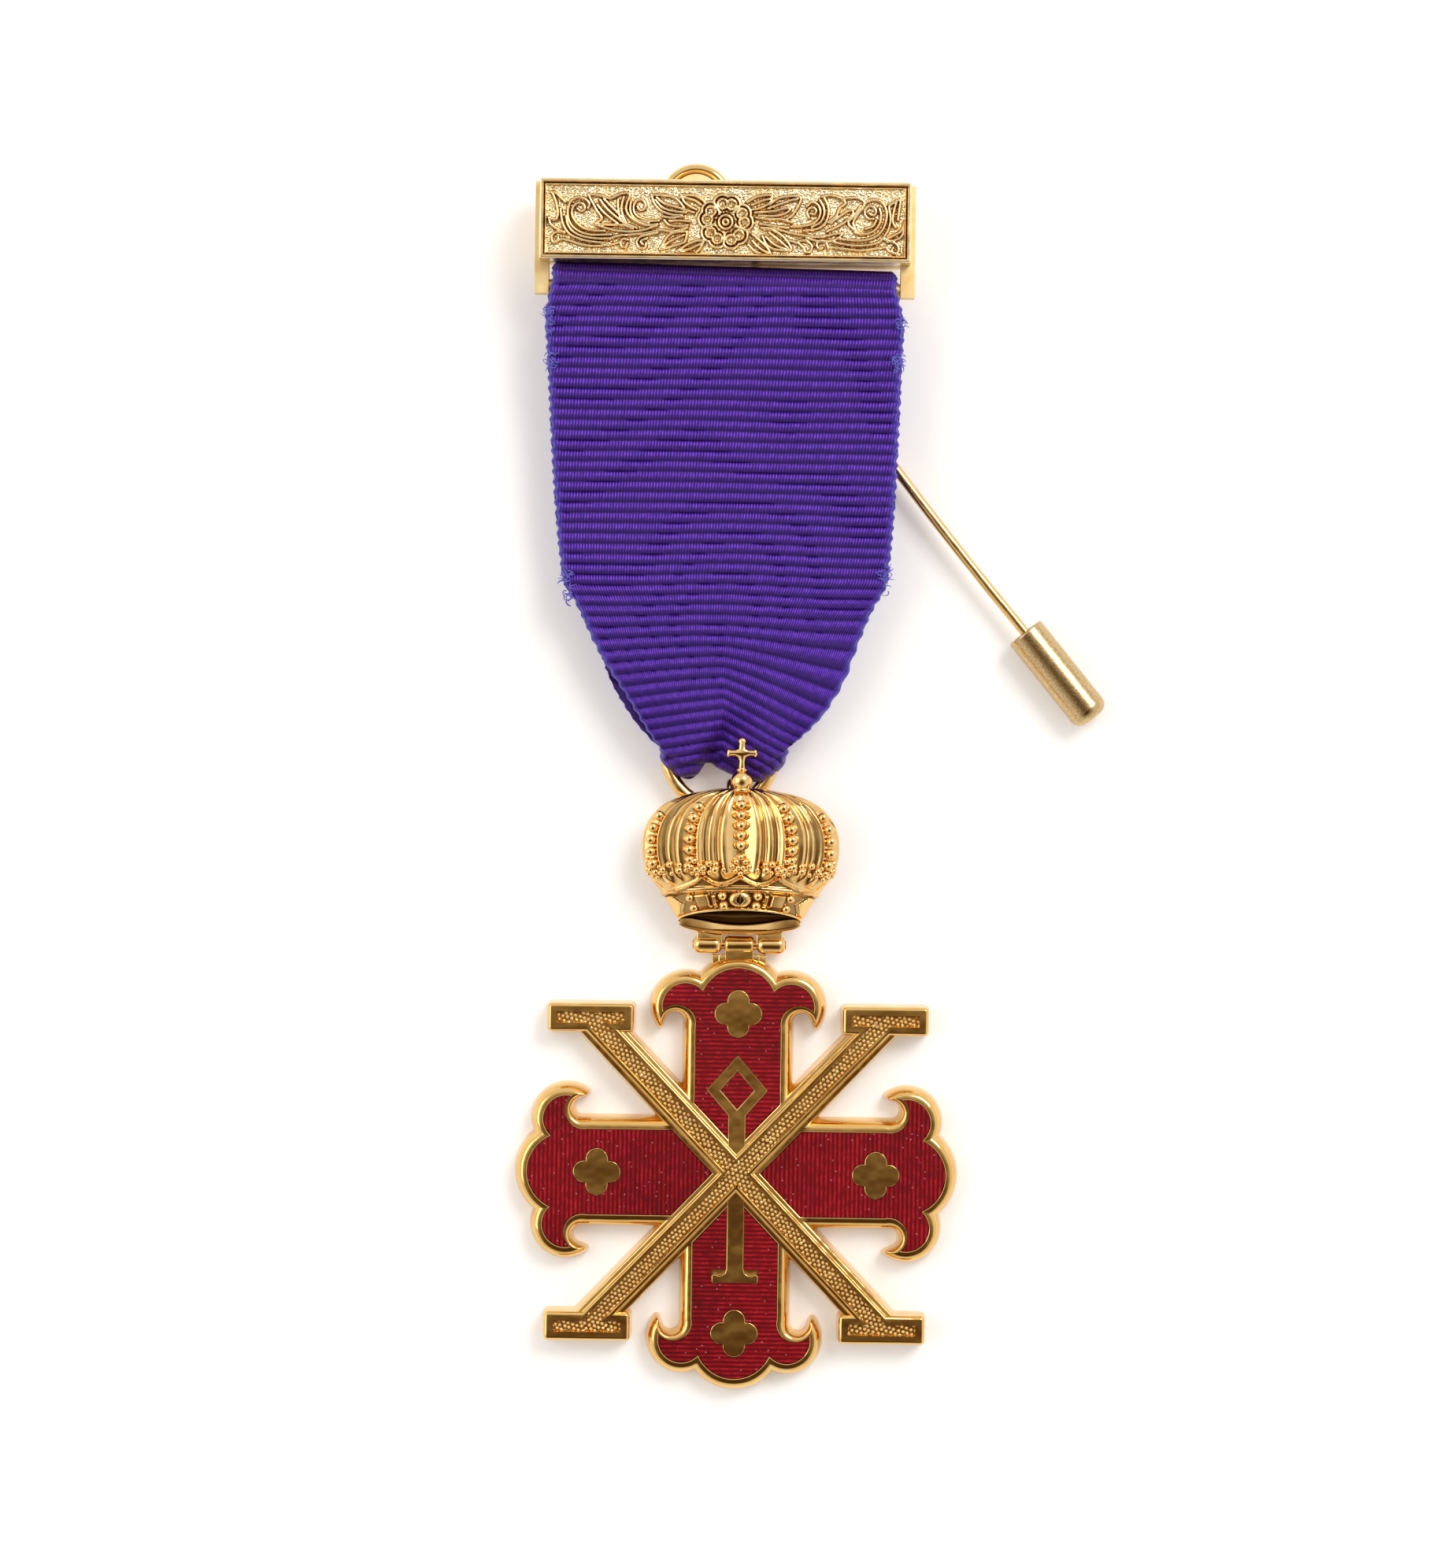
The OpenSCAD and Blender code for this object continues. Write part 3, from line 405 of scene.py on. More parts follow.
def armSide(reach, g):
    # right side of an arm from the inner corner to the top of the middle lobe, at distance g
    # from the enamel; it always has the same number of points
    c = cross
    lobeY = reach - c["lobeR"]
    t = g / c["rimW"]
    curl = np.array([c["curlX"], lobeY])
    hollow = curl + (c["hollowX"] + c["footShift"][0] * t, c["footShift"][1] * t - c["hollowDrop"])
    hollowR = c["hollowR"] - c["footHollow"] * t
    curlR, lobeR, stemX = c["curlR"] + g, c["lobeR"] + g, c["stemHalf"] + g
    drop = math.sqrt(hollowR ** 2 - (hollow[0] - stemX) ** 2)
    low = hollow - (hollow[0] - stemX, drop)
    stem = [(stemX, y) for y in np.linspace(stemX, low[1], 12)]

    def ridge(level):
        # where the hollow's circle meets the curl's
        share = level / c["rimW"]
        h = np.array([c["hollowX"] + c["footShift"][0] * share,
                      c["footShift"][1] * share - c["hollowDrop"]])
        r1, r2, d = c["curlR"] + level, c["hollowR"] - c["footHollow"] * share, np.linalg.norm(h)
        along = (r1 ** 2 - r2 ** 2 + d ** 2) / (2 * d)
        across = math.sqrt(r1 ** 2 - along ** 2)
        return along * h / d + across * np.array([-h[1], h[0]]) / d

    end = c["ridgeEnd"]
    if g <= end:
        tip, tipR = curl + ridge(g), 0.0
    else:
        s = (g - end) / (c["rimW"] - end)
        tip = curl + ridge(end) * (1 - s) + np.array(c["tipFoot"]) * s
        tipR = c["tipR"] * s
    gap = tip - hollow
    spread = math.degrees(math.acos(min(1, (hollowR + tipR) / np.linalg.norm(gap))))
    leave = heading(gap) + spread
    outer = heading(tip - curl)
    inHollow = arc(hollow, hollowR, heading(low - hollow) % 360, leave, 40)
    roundTip = arc(tip, tipR, leave + 180, outer + 360, 12)
    meetX = (c["curlX"] ** 2 + lobeR ** 2 - curlR ** 2) / (2 * c["curlX"])
    meet = np.array([meetX, lobeY + math.sqrt(lobeR ** 2 - meetX ** 2)])
    onCurl = arc(curl, curlR, outer, heading(meet - curl), 44)
    onLobe = arc((0, lobeY), lobeR, heading(meet - (0, lobeY)), 90, 30)
    return stem[:-1] + inHollow[:-1] + roundTip[:-1] + onCurl[:-1] + onLobe


def crossLoop(g):
    # whole outline of the four arms, anticlockwise from the inner corner of the top arm
    outline = []
    for i in range(4):
        half = armSide(cross["reach"][i % 2], g)
        whole = half + [(-x, y) for x, y in half[-2:0:-1]]
        a = math.radians(90 * i)
        outline += [(x * math.cos(a) - y * math.sin(a), x * math.sin(a) + y * math.cos(a))
                    for x, y in whole]
    return outline


def makeBar(angle):
    half = cross["bar"]
    section = half + [(-d, z) for d, z in half[::-1]]
    reach = math.hypot(*cross["serifAt"])
    loops = [[(x, d, z) for d, z in section] for x in (-reach, reach)]
    return turned(loft(loops), angle)


def channel(halfLow, halfHigh, reach):
    low, high = cross["channelFloor"], cross["cutTop"]
    section = [(halfLow, low), (halfHigh, high), (-halfHigh, high), (-halfLow, low)]
    return loft([[(x, d, z) for d, z in section] for x in (-reach, reach)])


def lozengeLine(share, by=0.0):
    a, b = (v * share for v in cross["lozenge"])
    k = 1 + by * math.hypot(a, b) / (a * b)
    corners = ((a * k, 0), (0, b * k), (-a * k, 0), (0, -b * k))
    return [(x, y + cross["lozengeY"]) for x, y in corners]


def staffSolids():
    # the staff with its lozenge head and serif foot, and the cut that opens the lozenge
    c = cross
    a, b = c["lozenge"]
    w = c["staffW"] / 2
    join = c["lozengeY"] - b * (1 - w / a)
    footHalf = [(w, 1.0), (w + 0.1, 0.55), (w + 0.4, 0.36), (1.45, 0.3), (1.7, 0.4), (1.93, 0.42),
                (2.05, 0.28), (2.05, -0.22), (1.93, -0.4), (1.7, -0.4), (1.4, -0.3), (0.0, -0.3)]
    right = [(x, y - c["footY"]) for x, y in footHalf[::-1]] + [(w, join), (a, c["lozengeY"])]
    outline = right + [(0, c["lozengeY"] + b)] + [(-x, y) for x, y in right[:0:-1]]
    high, bevel = c["chargeTop"], c["chargeBevel"]
    opening = [atLevel(lozengeLine(c["lozengeOpen"]), c["enamelFloor"]),
               atLevel(lozengeLine(c["lozengeOpen"]), high - bevel),
               atLevel(lozengeLine(c["lozengeOpen"], bevel), high),
               atLevel(lozengeLine(c["lozengeOpen"], bevel), high + 1)]
    return bevelled(outline, c["chargeLow"], high, bevel), loft(opening)


def floretOutline(at):
    # four petals whose circles meet in notches on the diagonals
    r, d = cross["petalR"], cross["petalOut"] * cross["petalR"]
    notch = (d + math.sqrt(2 * r * r - d * d)) / 2
    end = heading((notch - d, notch))
    outline = []
    for k in range(4):
        turn = math.radians(90 * k)
        for x, y in arc((d, 0), r, -end, end, 22)[:-1]:
            outline.append((at[0] + x * math.cos(turn) - y * math.sin(turn),
                            at[1] + x * math.sin(turn) + y * math.cos(turn)))
    return outline


def knuckle(start, end, edge):
    # rounded barrel of the hinge, from start to end along its axis
    radius = cross["knuckleR"]
    profile = []
    for s, at in ((-1, start), (1, end)):
        steps = [(at - s * edge * (1 - math.sin(a)), radius - edge * (1 - math.cos(a)))
                 for a in np.linspace(math.pi / 2, 0, 6)]
        profile += steps if s < 0 else steps[::-1]
    return moved(lathe(profile, 40), (0, *cross["hinge"]))


def slab(width, fromY, toY, low, high, edge):
    outline = roundedBox((0, (fromY + toY) / 2), (width, toY - fromY), edge)
    return bevelled(outline, low, high, edge)


def serifPlaces():
    x, y = cross["serifAt"]
    return [(-x, -y), (-x, y), (x, -y), (x, y)]


def makeCross():
    c = cross
    points, faces = loft([atLevel(crossLoop(g), z) for g, z in c["rim"]])
    item = addPiece("cross_casting", points, faces, giltCast, "drop")
    weld = item.modifiers.new("weld", "WELD")
    weld.merge_threshold = 2e-6
    settle(item, 30)
    solids = [makeBar(c["saltireAngle"]), makeBar(-c["saltireAngle"])]
    for at in serifPlaces():
        block = roundedBox(at, c["serifSize"], c["serifCorner"])
        solids.append(loft([atLevel(grow(block, -by), z) for by, z in c["serif"]]))
    staff, opening = staffSolids()
    solids.append(staff)
    up, out = c["floretAt"]
    for at in ((0, up), (0, -up), (out, 0), (-out, 0)):
        solids.append(bevelled(floretOutline(at), c["chargeLow"], c["chargeTop"],
                               c["chargeBevel"]))
    solids += [slab(*row) for row in c["lug"]]
    solids.append(knuckle(-c["knuckleMid"] / 2, c["knuckleMid"] / 2, c["knuckleEdge"]))
    combine(item, solids, "UNION")
    reach = math.hypot(*c["serifAt"])
    low, high = c["channelHalf"]
    cuts = [opening]
    cuts += [turned(channel(low, high, reach), a) for a in (c["saltireAngle"], -c["saltireAngle"])]
    length, wide = c["slot"]
    cuts += [moved(channel(wide / 2, wide / 2 + c["slotFlare"], length / 2), (*at, 0))
             for at in serifPlaces()]
    cuts.append(moved(lathe([(-6, c["boreR"]), (6, c["boreR"])]), (0, *c["hinge"])))
    combine(item, cuts, "DIFFERENCE")
    evenNormals(item)
    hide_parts("cross_frame")
    print("cross made", len(item.data.polygons))


makeCross()


# Chased ground: scales in the channels of the saltire

chasing = {
    "pitch": 0.42, "rise": 0.3, "floor": 2.12, "low": 1.9, "step": 0.06, "overlap": 0.03,
    "seed": 7,
    # shares of the pitch: distance of the rows, radius of a scale; then unevenness and lean
    "rowShare": 0.86, "scaleShare": 0.47, "jitter": 0.1, "cells": 200, "lean": 0.3,
    # painted shade between the scales: its strength, and the heights of a scale over which it
    # fades
    "paintedShade": 0.95, "shadeFrom": (0.12, 0.64),
}


def scales(x, y):
    # staggered rows of small domes, each leaning on the next
    c = chasing
    p, up, radius, cells = c["pitch"], c["rowShare"], c["scaleShare"] * c["pitch"], c["cells"]
    rng = np.random.default_rng(c["seed"])
    jitter = rng.uniform(-c["jitter"], c["jitter"], (cells, cells, 3))
    best = np.zeros_like(x)
    row = np.floor(y / (p * up)).astype(int)
    for dr in (-1, 0, 1):
        r = row + dr
        shift = np.where(r % 2 == 0, 0.0, 0.5)
        for dc in (-1, 0, 1):
            col = np.floor(x / p - shift).astype(int) + dc
            j = jitter[r % cells, col % cells]
            cx = (col + shift + 0.5 + j[..., 0]) * p
            cy = (r + 0.5 + j[..., 1]) * p * up
            dx, dy = (x - cx) / radius, (y - cy) / radius
            dome = np.sqrt(np.clip(1 - dx * dx - dy * dy, 0, None)) * (1 + j[..., 2])
            best = np.maximum(best, dome * (1 + c["lean"] * dy))
    return best


def chasedStrip(half, reach, turn, at=(0, 0)):
    # closed strip with a chased top; turn lays it along its bar
    c = chasing
    xs = np.arange(-reach, reach + c["step"] / 2, c["step"])
    ys = np.linspace(-half, half, int(2 * half / c["step"]) + 1)
    x, y = np.meshgrid(xs, ys, indexing="ij")
    a = math.radians(turn)
    px = x * math.cos(a) - y * math.sin(a) + at[0]
    py = x * math.sin(a) + y * math.cos(a) + at[1]
    # the pattern lies across the whole cross, so that it runs on through the centre
    high = scales((px + py) * math.sqrt(0.5), (py - px) * math.sqrt(0.5))
    points, faces = slabOver(px, py, c["floor"] + c["rise"] * high, c["low"])
    # painted shade, darkest low down between the scales
    paintedShade = np.zeros(len(points))
    paintedShade[:high.size] = (c["paintedShade"] * (1 - rounded(high, *c["shadeFrom"]))).ravel()
    return points, faces, paintedShade


def makeChasing():
    c = cross
    reach = math.hypot(*c["serifAt"])
    over = chasing["overlap"]
    half = c["channelHalf"][0] + over
    strips = [chasedStrip(half, reach, turn) for turn in (c["saltireAngle"], -c["saltireAngle"])]
    length, wide = c["slot"]
    strips += [chasedStrip(wide / 2 + over, length / 2, 0, at) for at in serifPlaces()]
    item = addPiece("chased_channels", *merge([strip[:2] for strip in strips]), giltChased,
                    "drop", sharp=70)
    addValues(item, "hollow", np.concatenate([strip[2] for strip in strips]))
    print("chasing made", len(item.data.polygons))


makeChasing()


# Crown: relief over a half dome, with pearls, headband, orb and small cross

crown = {
    "z": 2.6, "y": 22.26, "h": 11.94, "half": 8.72, "depth": 3.2, "lipRise": 0.91,
    "lipFall": 0.98, "rows": [
        [0.0, 0.605, 0.81, 1.0], [0.12, 0.69, 0.86, 0.95], [0.225, 0.8, 0.91, 0.88],
        [0.31, 0.9, 0.95, 0.75], [0.43, 0.975, 0.98, 0.55], [0.56, 1.0, 1.0, 0.38],
        [0.69, 0.975, 0.98, 0.22], [0.8, 0.89, 0.94, 0.1], [0.895, 0.74, 0.85, 0.0],
        [0.96, 0.52, 0.73, 0.0], [1.0, 0.26, 0.6, 0.0]],
    "steps": (190, 400),
    # hollow in the back: first and last row of the table, wall in mm, points along and across
    "cavity": (3, 8), "wall": 1.2, "cavitySteps": (40, 60),
    # end of the closing rows: distance above the crown, height of its arch
    "summit": (0.1, 1.2),
    # section of the mouth from the front lip back: share of the lip's rise or fall, height
    "lipArch": 0.026,
    "mouth": [(1.1, 2.3), (1.35, 1.2), (1.3, 0.35), (0.95, 0.15), (0.6, 0.1), (0.3, 0.2),
              (0.18, 0.36), (0.1, 0.54), (0.0, 0.62), (-0.12, 0.54), (-0.6, 0.2), (-0.74, 0.13),
              (-0.79, 0.15), (-0.84, 0.28), (-0.93, 0.33), (-1.0, 0.26), (-1.03, 0.1),
              (-1.03, 0.0)],
    # painted shade on the mouth's rows as built, from the back edge to the front lip: dark under
    # the lip
    "mouthShade": (0, 0, 0, 0, 0, 0, 0, 0, 0, 0, 0.5, 0.75, 0.8, 0.85, 0.9, 0.9, 0.8, 0.4),
    # share at which the mouth's shaded ceiling meets its bright floor: middle, ends
    "mouthSplit": (-0.22, 0.9), "mouthInner": (-0.74, 0.95),
    # relief from the middle out: longitude in degrees, height in mm
    "relief": [(0, -0.16), (2.6, -0.1), (5.0, 0.02), (7, 0.16), (8.6, 0.28), (10.4, 0.34),
               (12, 0.22), (12.8, -0.06), (14.2, -0.18), (15.4, -0.1), (16.2, 0.06),
               (17.8, 0.14), (19.2, 0.1), (19.8, -0.08), (21.4, -0.2), (23, -0.12),
               (23.8, 0.12), (25.2, 0.26), (26.6, 0.16), (27.6, 0.04), (30.8, -0.16),
               (34, 0.04), (35.4, 0.18), (38, 0.3), (40.4, 0.18), (41.2, -0.08),
               (42.4, -0.18), (43.4, -0.04), (44.4, 0.08), (46, 0.14), (47.6, 0.08),
               (48.4, -0.1), (51, -0.2), (53.6, -0.1), (54.6, 0.12), (56, 0.22),
               (57.4, 0.1), (59, 0.02), (64, -0.16), (70, 0.04), (72.5, 0.14),
               (77, 0.22), (84, 0.1), (90, 0)],
    # pearls on the arches: longitude, first and last rise
    "pearls": [(0, 0.555, 0.88), (30.6, 0.52, 0.86), (64, 0.42, 0.79)], "pearlCount": 5,
    "pearlR": 0.47, "pearlLift": 0.2,
    # rim above the headband: longitude, rise
    "wave": [(0, 0.28), (2, 0.268), (6, 0.243), (11, 0.222), (15, 0.219), (20, 0.236), (24, 0.272),
             (26, 0.288), (28, 0.272), (33, 0.245), (40, 0.225), (52, 0.203), (65, 0.197),
             (90, 0.2)],
    "waveH": 0.34, "waveWide": 0.0125,
    "bandBeads": (-46, -14.6, 14.6, 46), "bandBeadR": 0.4, "bandBeadAt": (0.064, 0.138),
    "bandTop": 0.19, "bandLow": 0.012, "bandEdge": 0.2, "bandSink": 0.12,
    # set stones: radius of the band's arc, level of their middles, half sizes of the oval and
    # of the lozenge in it, then places, half sizes and heights of the blocks and bars
    "bandR": 5.9, "stoneLevel": 0.1, "oval": (0.98, 0.84), "gem": (0.42, 0.74),
    "block": (3.38, 0.74, 0.76, 0.46), "upright": (2.28, 0.2, 0.84, 0.4),
    "leafEnd": (56, 20, 0.85, 0.36),
    # leaves of the fleurons as beads: along, up, radius; the outer ones are mirrored
    "fleuronAt": {-63: "side", -27: "side", 0: "middle", 27: "side", 63: "side"},
    "fleuronRise": 0.36,
    "side": [(-0.57, 0.93, 0.4), (-0.18, 0.79, 0.3), (-0.86, 0.29, 0.36), (-1.07, -0.1, 0.25),
             (-0.57, 0.2, 0.3), (-0.14, -0.07, 0.34), (0.2, -0.2, 0.25), (0.5, 0.07, 0.34),
             (1.0, 0.5, 0.34), (1.53, 0.43, 0.3), (1.43, -0.1, 0.38), (0.29, 0.36, 0.22),
             (-0.2, -0.57, 0.25), (0.43, -0.43, 0.2), (-0.6, -0.4, 0.22), (0.95, -0.35, 0.24)],
    "middle": [(0, 1.15, 0.32), (-0.36, 0.72, 0.3), (0.4, 0.7, 0.3), (0.72, 0.22, 0.28),
               (-0.72, 0.22, 0.28), (-0.2, 0.08, 0.28), (0.2, 0.08, 0.28), (0.45, -0.25, 0.26),
               (-0.45, -0.25, 0.26), (0, -0.5, 0.28), (-1.45, -0.1, 0.28), (1.45, -0.1, 0.28)],
    # knuckles: start, end, edge; necks and plate: middle, length, corner, low, high, edge
    "knuckles": (1.5, 4.15), "knuckleEdge": 0.66, "plateHalf": 3.8,
    "neck": (20.95, 1.4, 0.12, 0.76, 1.84, 0.1), "plate": (23.0, 3.2, 0.15, 0.76, 2.62, 0.05),
    "eyeAt": (-1.0, 1.75, 32.745, 33.53), "eyeR": 1.2, "eyeWire": 0.35,
    "orbR": 0.95, "orbAt": (0, 34.91, 4.65), "finialTop": 38.75, "finialArms": 1.4,
}


def crownPoint(rise, turn, lift):
    rise, turn, lift = np.broadcast_arrays(np.asarray(rise, float), np.radians(turn), lift)
    row = smoothTable(crown["rows"], np.clip(rise, 0, 1))
    c = crown
    return np.stack([(c["half"] * row[..., 0] + lift) * np.sin(turn),
                     c["y"] + c["h"] * rise + c["lipRise"] * row[..., 2] * np.cos(turn),
                     c["z"] + (c["depth"] * row[..., 1] + lift) * np.cos(turn)], axis=-1)


def crownRelief(rise, turn):
    c = crown
    side = np.abs(turn)
    wave = np.interp(side, *np.array(c["wave"]).T)
    fine = np.arange(-5, 95.01, 0.2)
    soft = np.hanning(9) / np.hanning(9).sum()
    smooth = np.convolve(np.interp(np.abs(fine), *np.array(c["relief"]).T), soft, mode="same")
    # the middle arch swells like a petal: its lines draw in above and below
    swell = 1 - 0.28 * np.clip(np.abs(rise - 0.62) / 0.36, 0, 1) ** 2 * (1 - rounded(side, 6, 18))
    ribs = np.interp(side / swell, fine, smooth)
    foot = rounded(rise, wave + 0.035, wave + 0.1)
    crest = 1 - rounded(rise, 0.93, 1.0)
    lift = ribs * foot * crest
    # hollow between the wavy rim and the feet of the arches
    lift -= 0.16 * rounded(rise, wave, wave + 0.03) * (1 - foot) * (1 - rounded(side, 66, 80))
    ridge = np.clip(1 - ((rise - wave) / c["waveWide"]) ** 2, 0, 1)
    lift += c["waveH"] * np.sqrt(ridge) * (1 - rounded(side, 78, 88))
    # headband: sunk ground between two rims
    band = rounded(rise, c["bandLow"], c["bandLow"] + 0.02) * (
        1 - rounded(rise, c["bandTop"] - 0.025, c["bandTop"] - 0.005))
    edge = rounded(rise, -0.01, 0.004)
    edge *= 1 - rounded(rise, c["bandTop"] + 0.008, c["bandTop"] + 0.03)
    edge *= 1 - rounded(side, 84, 88)
    lift += c["bandEdge"] * (edge - band) - c["bandSink"] * band
    # set stones and blocks, in mm of arc and of height
    x = np.radians(turn) * c["bandR"]
    y = (rise - c["stoneLevel"]) * c["h"]
    oval = np.clip(1 - (x / c["oval"][0]) ** 2 - (y / c["oval"][1]) ** 2, 0, 1) ** 0.5
    gem = np.clip(1 - np.abs(x) / c["gem"][0] - np.abs(y) / c["gem"][1], 0, 1)
    lift += 0.42 * oval ** 0.6 * (np.abs(x) < 1) - 0.3 * np.minimum(gem * 3, 1) + 0.45 * gem
    for s in (-1, 1):
        for (at, wide, tall, height), flat in ((c["block"], 0.72), (c["upright"], 0.45)):
            q = np.maximum(np.abs(x - s * at) / wide, np.abs(y) / tall)
            lift += height * (1 - rounded(q, flat, 1.0))
    # leaf ends, notched in the middle of their height
    start, length, tall, height = c["leafEnd"]
    notch = np.abs(y) / tall
    leaf = rounded((side - start) / length - 0.5 * notch, 0.02, 0.1)
    lift += height * leaf * (side < 84) * (notch < 1)
    # painted shade in the headband's ground, between the flutes and under the wavy rim;
    # the set stone's lozenge is painted dark too
    paintedShade = np.maximum(band * (1 - rounded(lift, -0.24, 0.04)), 0.9 * np.minimum(gem * 6, 1))
    paintedShade = np.maximum(paintedShade, 0.75 * rounded(-ribs, 0.06, 0.2) * foot * (side > 12))
    paintedShade = np.maximum(paintedShade, 0.7 * np.exp(-((rise - wave + 0.018) / 0.006) ** 2))
    return lift, paintedShade * (1 - rounded(side, 84, 88))


def crownFront():
    c = crown
    n, m = c["steps"]
    rise = np.linspace(0, 1, n)[:, None] + np.zeros(m)
    turn = np.linspace(-90, 90, m)[None, :] + np.zeros((n, 1))
    lift, paintedShade = crownRelief(rise, turn)
    # the lip arches up in the middle
    arched = rise + c["lipArch"] * np.cos(np.radians(turn)) * np.clip(1 - rise / 0.12, 0, 1)
    return crownPoint(arched, turn, lift * rounded(90 - np.abs(turn), 0, 4)), paintedShade


def crownHollow(offset, first):
    # inner surface under the wall, open on the back; its ends meet the face's own rows
    c = crown
    n, m = c["cavitySteps"]
    rises = np.linspace(0, 1, c["steps"][0])
    start, end = [int(np.argmin(np.abs(rises - c["rows"][k][0]))) for k in c["cavity"]]
    rise = np.linspace(rises[start], rises[end], n)[:, None] + np.zeros(m)
    turn = np.linspace(-90, 90, m)[None, :] + np.zeros((n, 1))
    points = crownPoint(rise, turn, -c["wall"]).reshape(-1, 3)
    faces = [tuple(offset + i for i in face[::-1]) for face in gridFaces(n, m)]
    faces += [tuple(offset + i for i in range(m - 1, -1, -1)),
              tuple(offset + (n - 1) * m + i for i in range(m))]
    rims = [[offset + i * m for i in range(n)], [offset + i * m + m - 1 for i in range(n)]]
    return (points, faces), first + start, first + end, rims


def crownMouth(lip, turn):
    # rows of the hollow mouth under the lip, from the back edge to the front one
    c = crown
    openness = np.cos(turn) ** 0.8
    mouth = []
    low, high = c["mouthInner"]
    split = c["mouthSplit"][0] + (c["mouthSplit"][1] - c["mouthSplit"][0]) * np.sin(turn) ** 2
    for share, z in c["mouth"][::-1]:
        if low < share < high:
            share = split + share * ((high - split) / high if share > 0 else (low - split) / low)
        share = share + 0 * turn
        lipY = (lip[:, 1] - c["y"]) / np.maximum(np.cos(turn), 0.02)
        y = c["y"] + np.cos(turn) * np.where(share > 0, lipY, c["lipFall"]) * share
        x = lip[:, 0] * (1 - 0.03 * (1 - abs(share)))
        mouth.append(np.stack([x, y, c["z"] + (z * openness)], axis=-1))
    return mouth


def makeCrownRelief():
    c = crown
    m = c["steps"][1]
    front, paintedShade = crownFront()
    turn = np.radians(np.linspace(-90, 90, m))
    mouth = crownMouth(front[0], turn)
    # closing rows over the top
    by, high = c["summit"]
    summit = np.stack([0 * turn, c["y"] + c["h"] + by + 0 * turn,
                       c["z"] + high * np.cos(turn)], axis=-1)
    top = [front[-1] * (1 - k) + summit * k for k in (0.35, 0.7, 0.98)]
    rows = np.array(mouth + list(front) + top)
    points = rows.reshape(-1, 3)
    count = len(rows)
    faces = gridFaces(count, m)
    # flat back round the hollow: the mouth's outline, two sides, and the top with its small arch
    left = [i * m for i in range(count)]
    right = [i * m + m - 1 for i in range(count)]
    first = len(mouth)
    hollow, start, end, rims = crownHollow(len(points), first)
    points = np.concatenate([points, hollow[0]])
    faces += hollow[1]
    faces.append(tuple(left[:first + 1] + right[first::-1] + list(range(m - 2, 0, -1))))
    faces += [(left[i], left[i + 1], right[i + 1], right[i])
              for i in range(first, count - 1) if i + 1 <= start or i >= end]
    faces.append(tuple(left[start:end + 1] + rims[0][::-1]))
    faces.append(tuple(right[start:end + 1][::-1] + rims[1]))
    faces.append(tuple(range((count - 1) * m, count * m)))
    item = addPiece("crown_relief", points, faces, giltBright, "mounting", sharp=50)
    # painted shade in the mouth and in the relief's hollows, none on the closing rows and the
    # cavity
    shadeBand = np.array([c["mouthShade"]] * m, dtype=float).T
    addValues(item, "hollow", np.concatenate([
        shadeBand.ravel(), paintedShade.ravel(), np.zeros(len(top) * m + len(hollow[0]))]))
    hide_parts("crown")
    return len(item.data.polygons)


def makeCrownPearls():
    c = crown
    solids = []
    for at, first, last in c["pearls"]:
        for s in ((-1, 1) if at else (1,)):
            for rise in np.linspace(first, last, c["pearlCount"]):
                solids.append(ball(crownPoint(rise, s * at, c["pearlLift"]), c["pearlR"]))
    for at in c["bandBeads"]:
        for rise in c["bandBeadAt"]:
            solids.append(ball(crownPoint(rise, at, 0.0), c["bandBeadR"], 16))
    for at, kind in c["fleuronAt"].items():
        for along, up, radius in c[kind]:
            along = -along if at > 0 else along
            turn = at + math.degrees(along / (8.2 * max(0.45, math.cos(math.radians(at)))))
            solids.append(ball(crownPoint(c["fleuronRise"] + up / c["h"], turn, 0.1), radius, 14))
    x, y, z = c["orbAt"]
    solids.append(ball((x, y, z), c["orbR"], 32))
    collar = lathe([(-0.2, 0.5), (-0.16, 0.7), (0, 0.76), (0.16, 0.7), (0.2, 0.5)], 28)
    upright = (np.column_stack([collar[0][:, 1], collar[0][:, 0], collar[0][:, 2]]),
               [f[::-1] for f in collar[1]])
    solids += [moved(upright, (x, y - 0.82, z)),
               moved((upright[0] * (0.62, 0.8, 0.62), upright[1]), (x, y + 0.98, z))]
    solids += finialSolids() + crownHinge()
    beads = addPiece("crown_pearls", *merge(solids), giltBright, "mounting", sharp=60)
    return len(beads.data.polygons)


def tube(path, radius, turns=20):
    # wire along a closed path in an upright plane across x: path holds (y, z)
    path = np.asarray(path, dtype=float)
    ahead = np.roll(path, -1, axis=0) - np.roll(path, 1, axis=0)
    ahead /= np.linalg.norm(ahead, axis=1)[:, None]
    side = np.column_stack([-ahead[:, 1], ahead[:, 0]])
    angles = np.arange(turns) / turns * 2 * math.pi
    n = len(path)
    points = np.zeros((n, turns, 3))
    points[..., 0] = radius * np.cos(angles)
    points[..., 1:] = path[:, None] + radius * np.sin(angles)[:, None] * side[:, None]
    faces = [(i * turns + j, i * turns + (j + 1) % turns,
              (i + 1) % n * turns + (j + 1) % turns, (i + 1) % n * turns + j)
             for i in range(n) for j in range(turns)]
    return points.reshape(-1, 3), faces


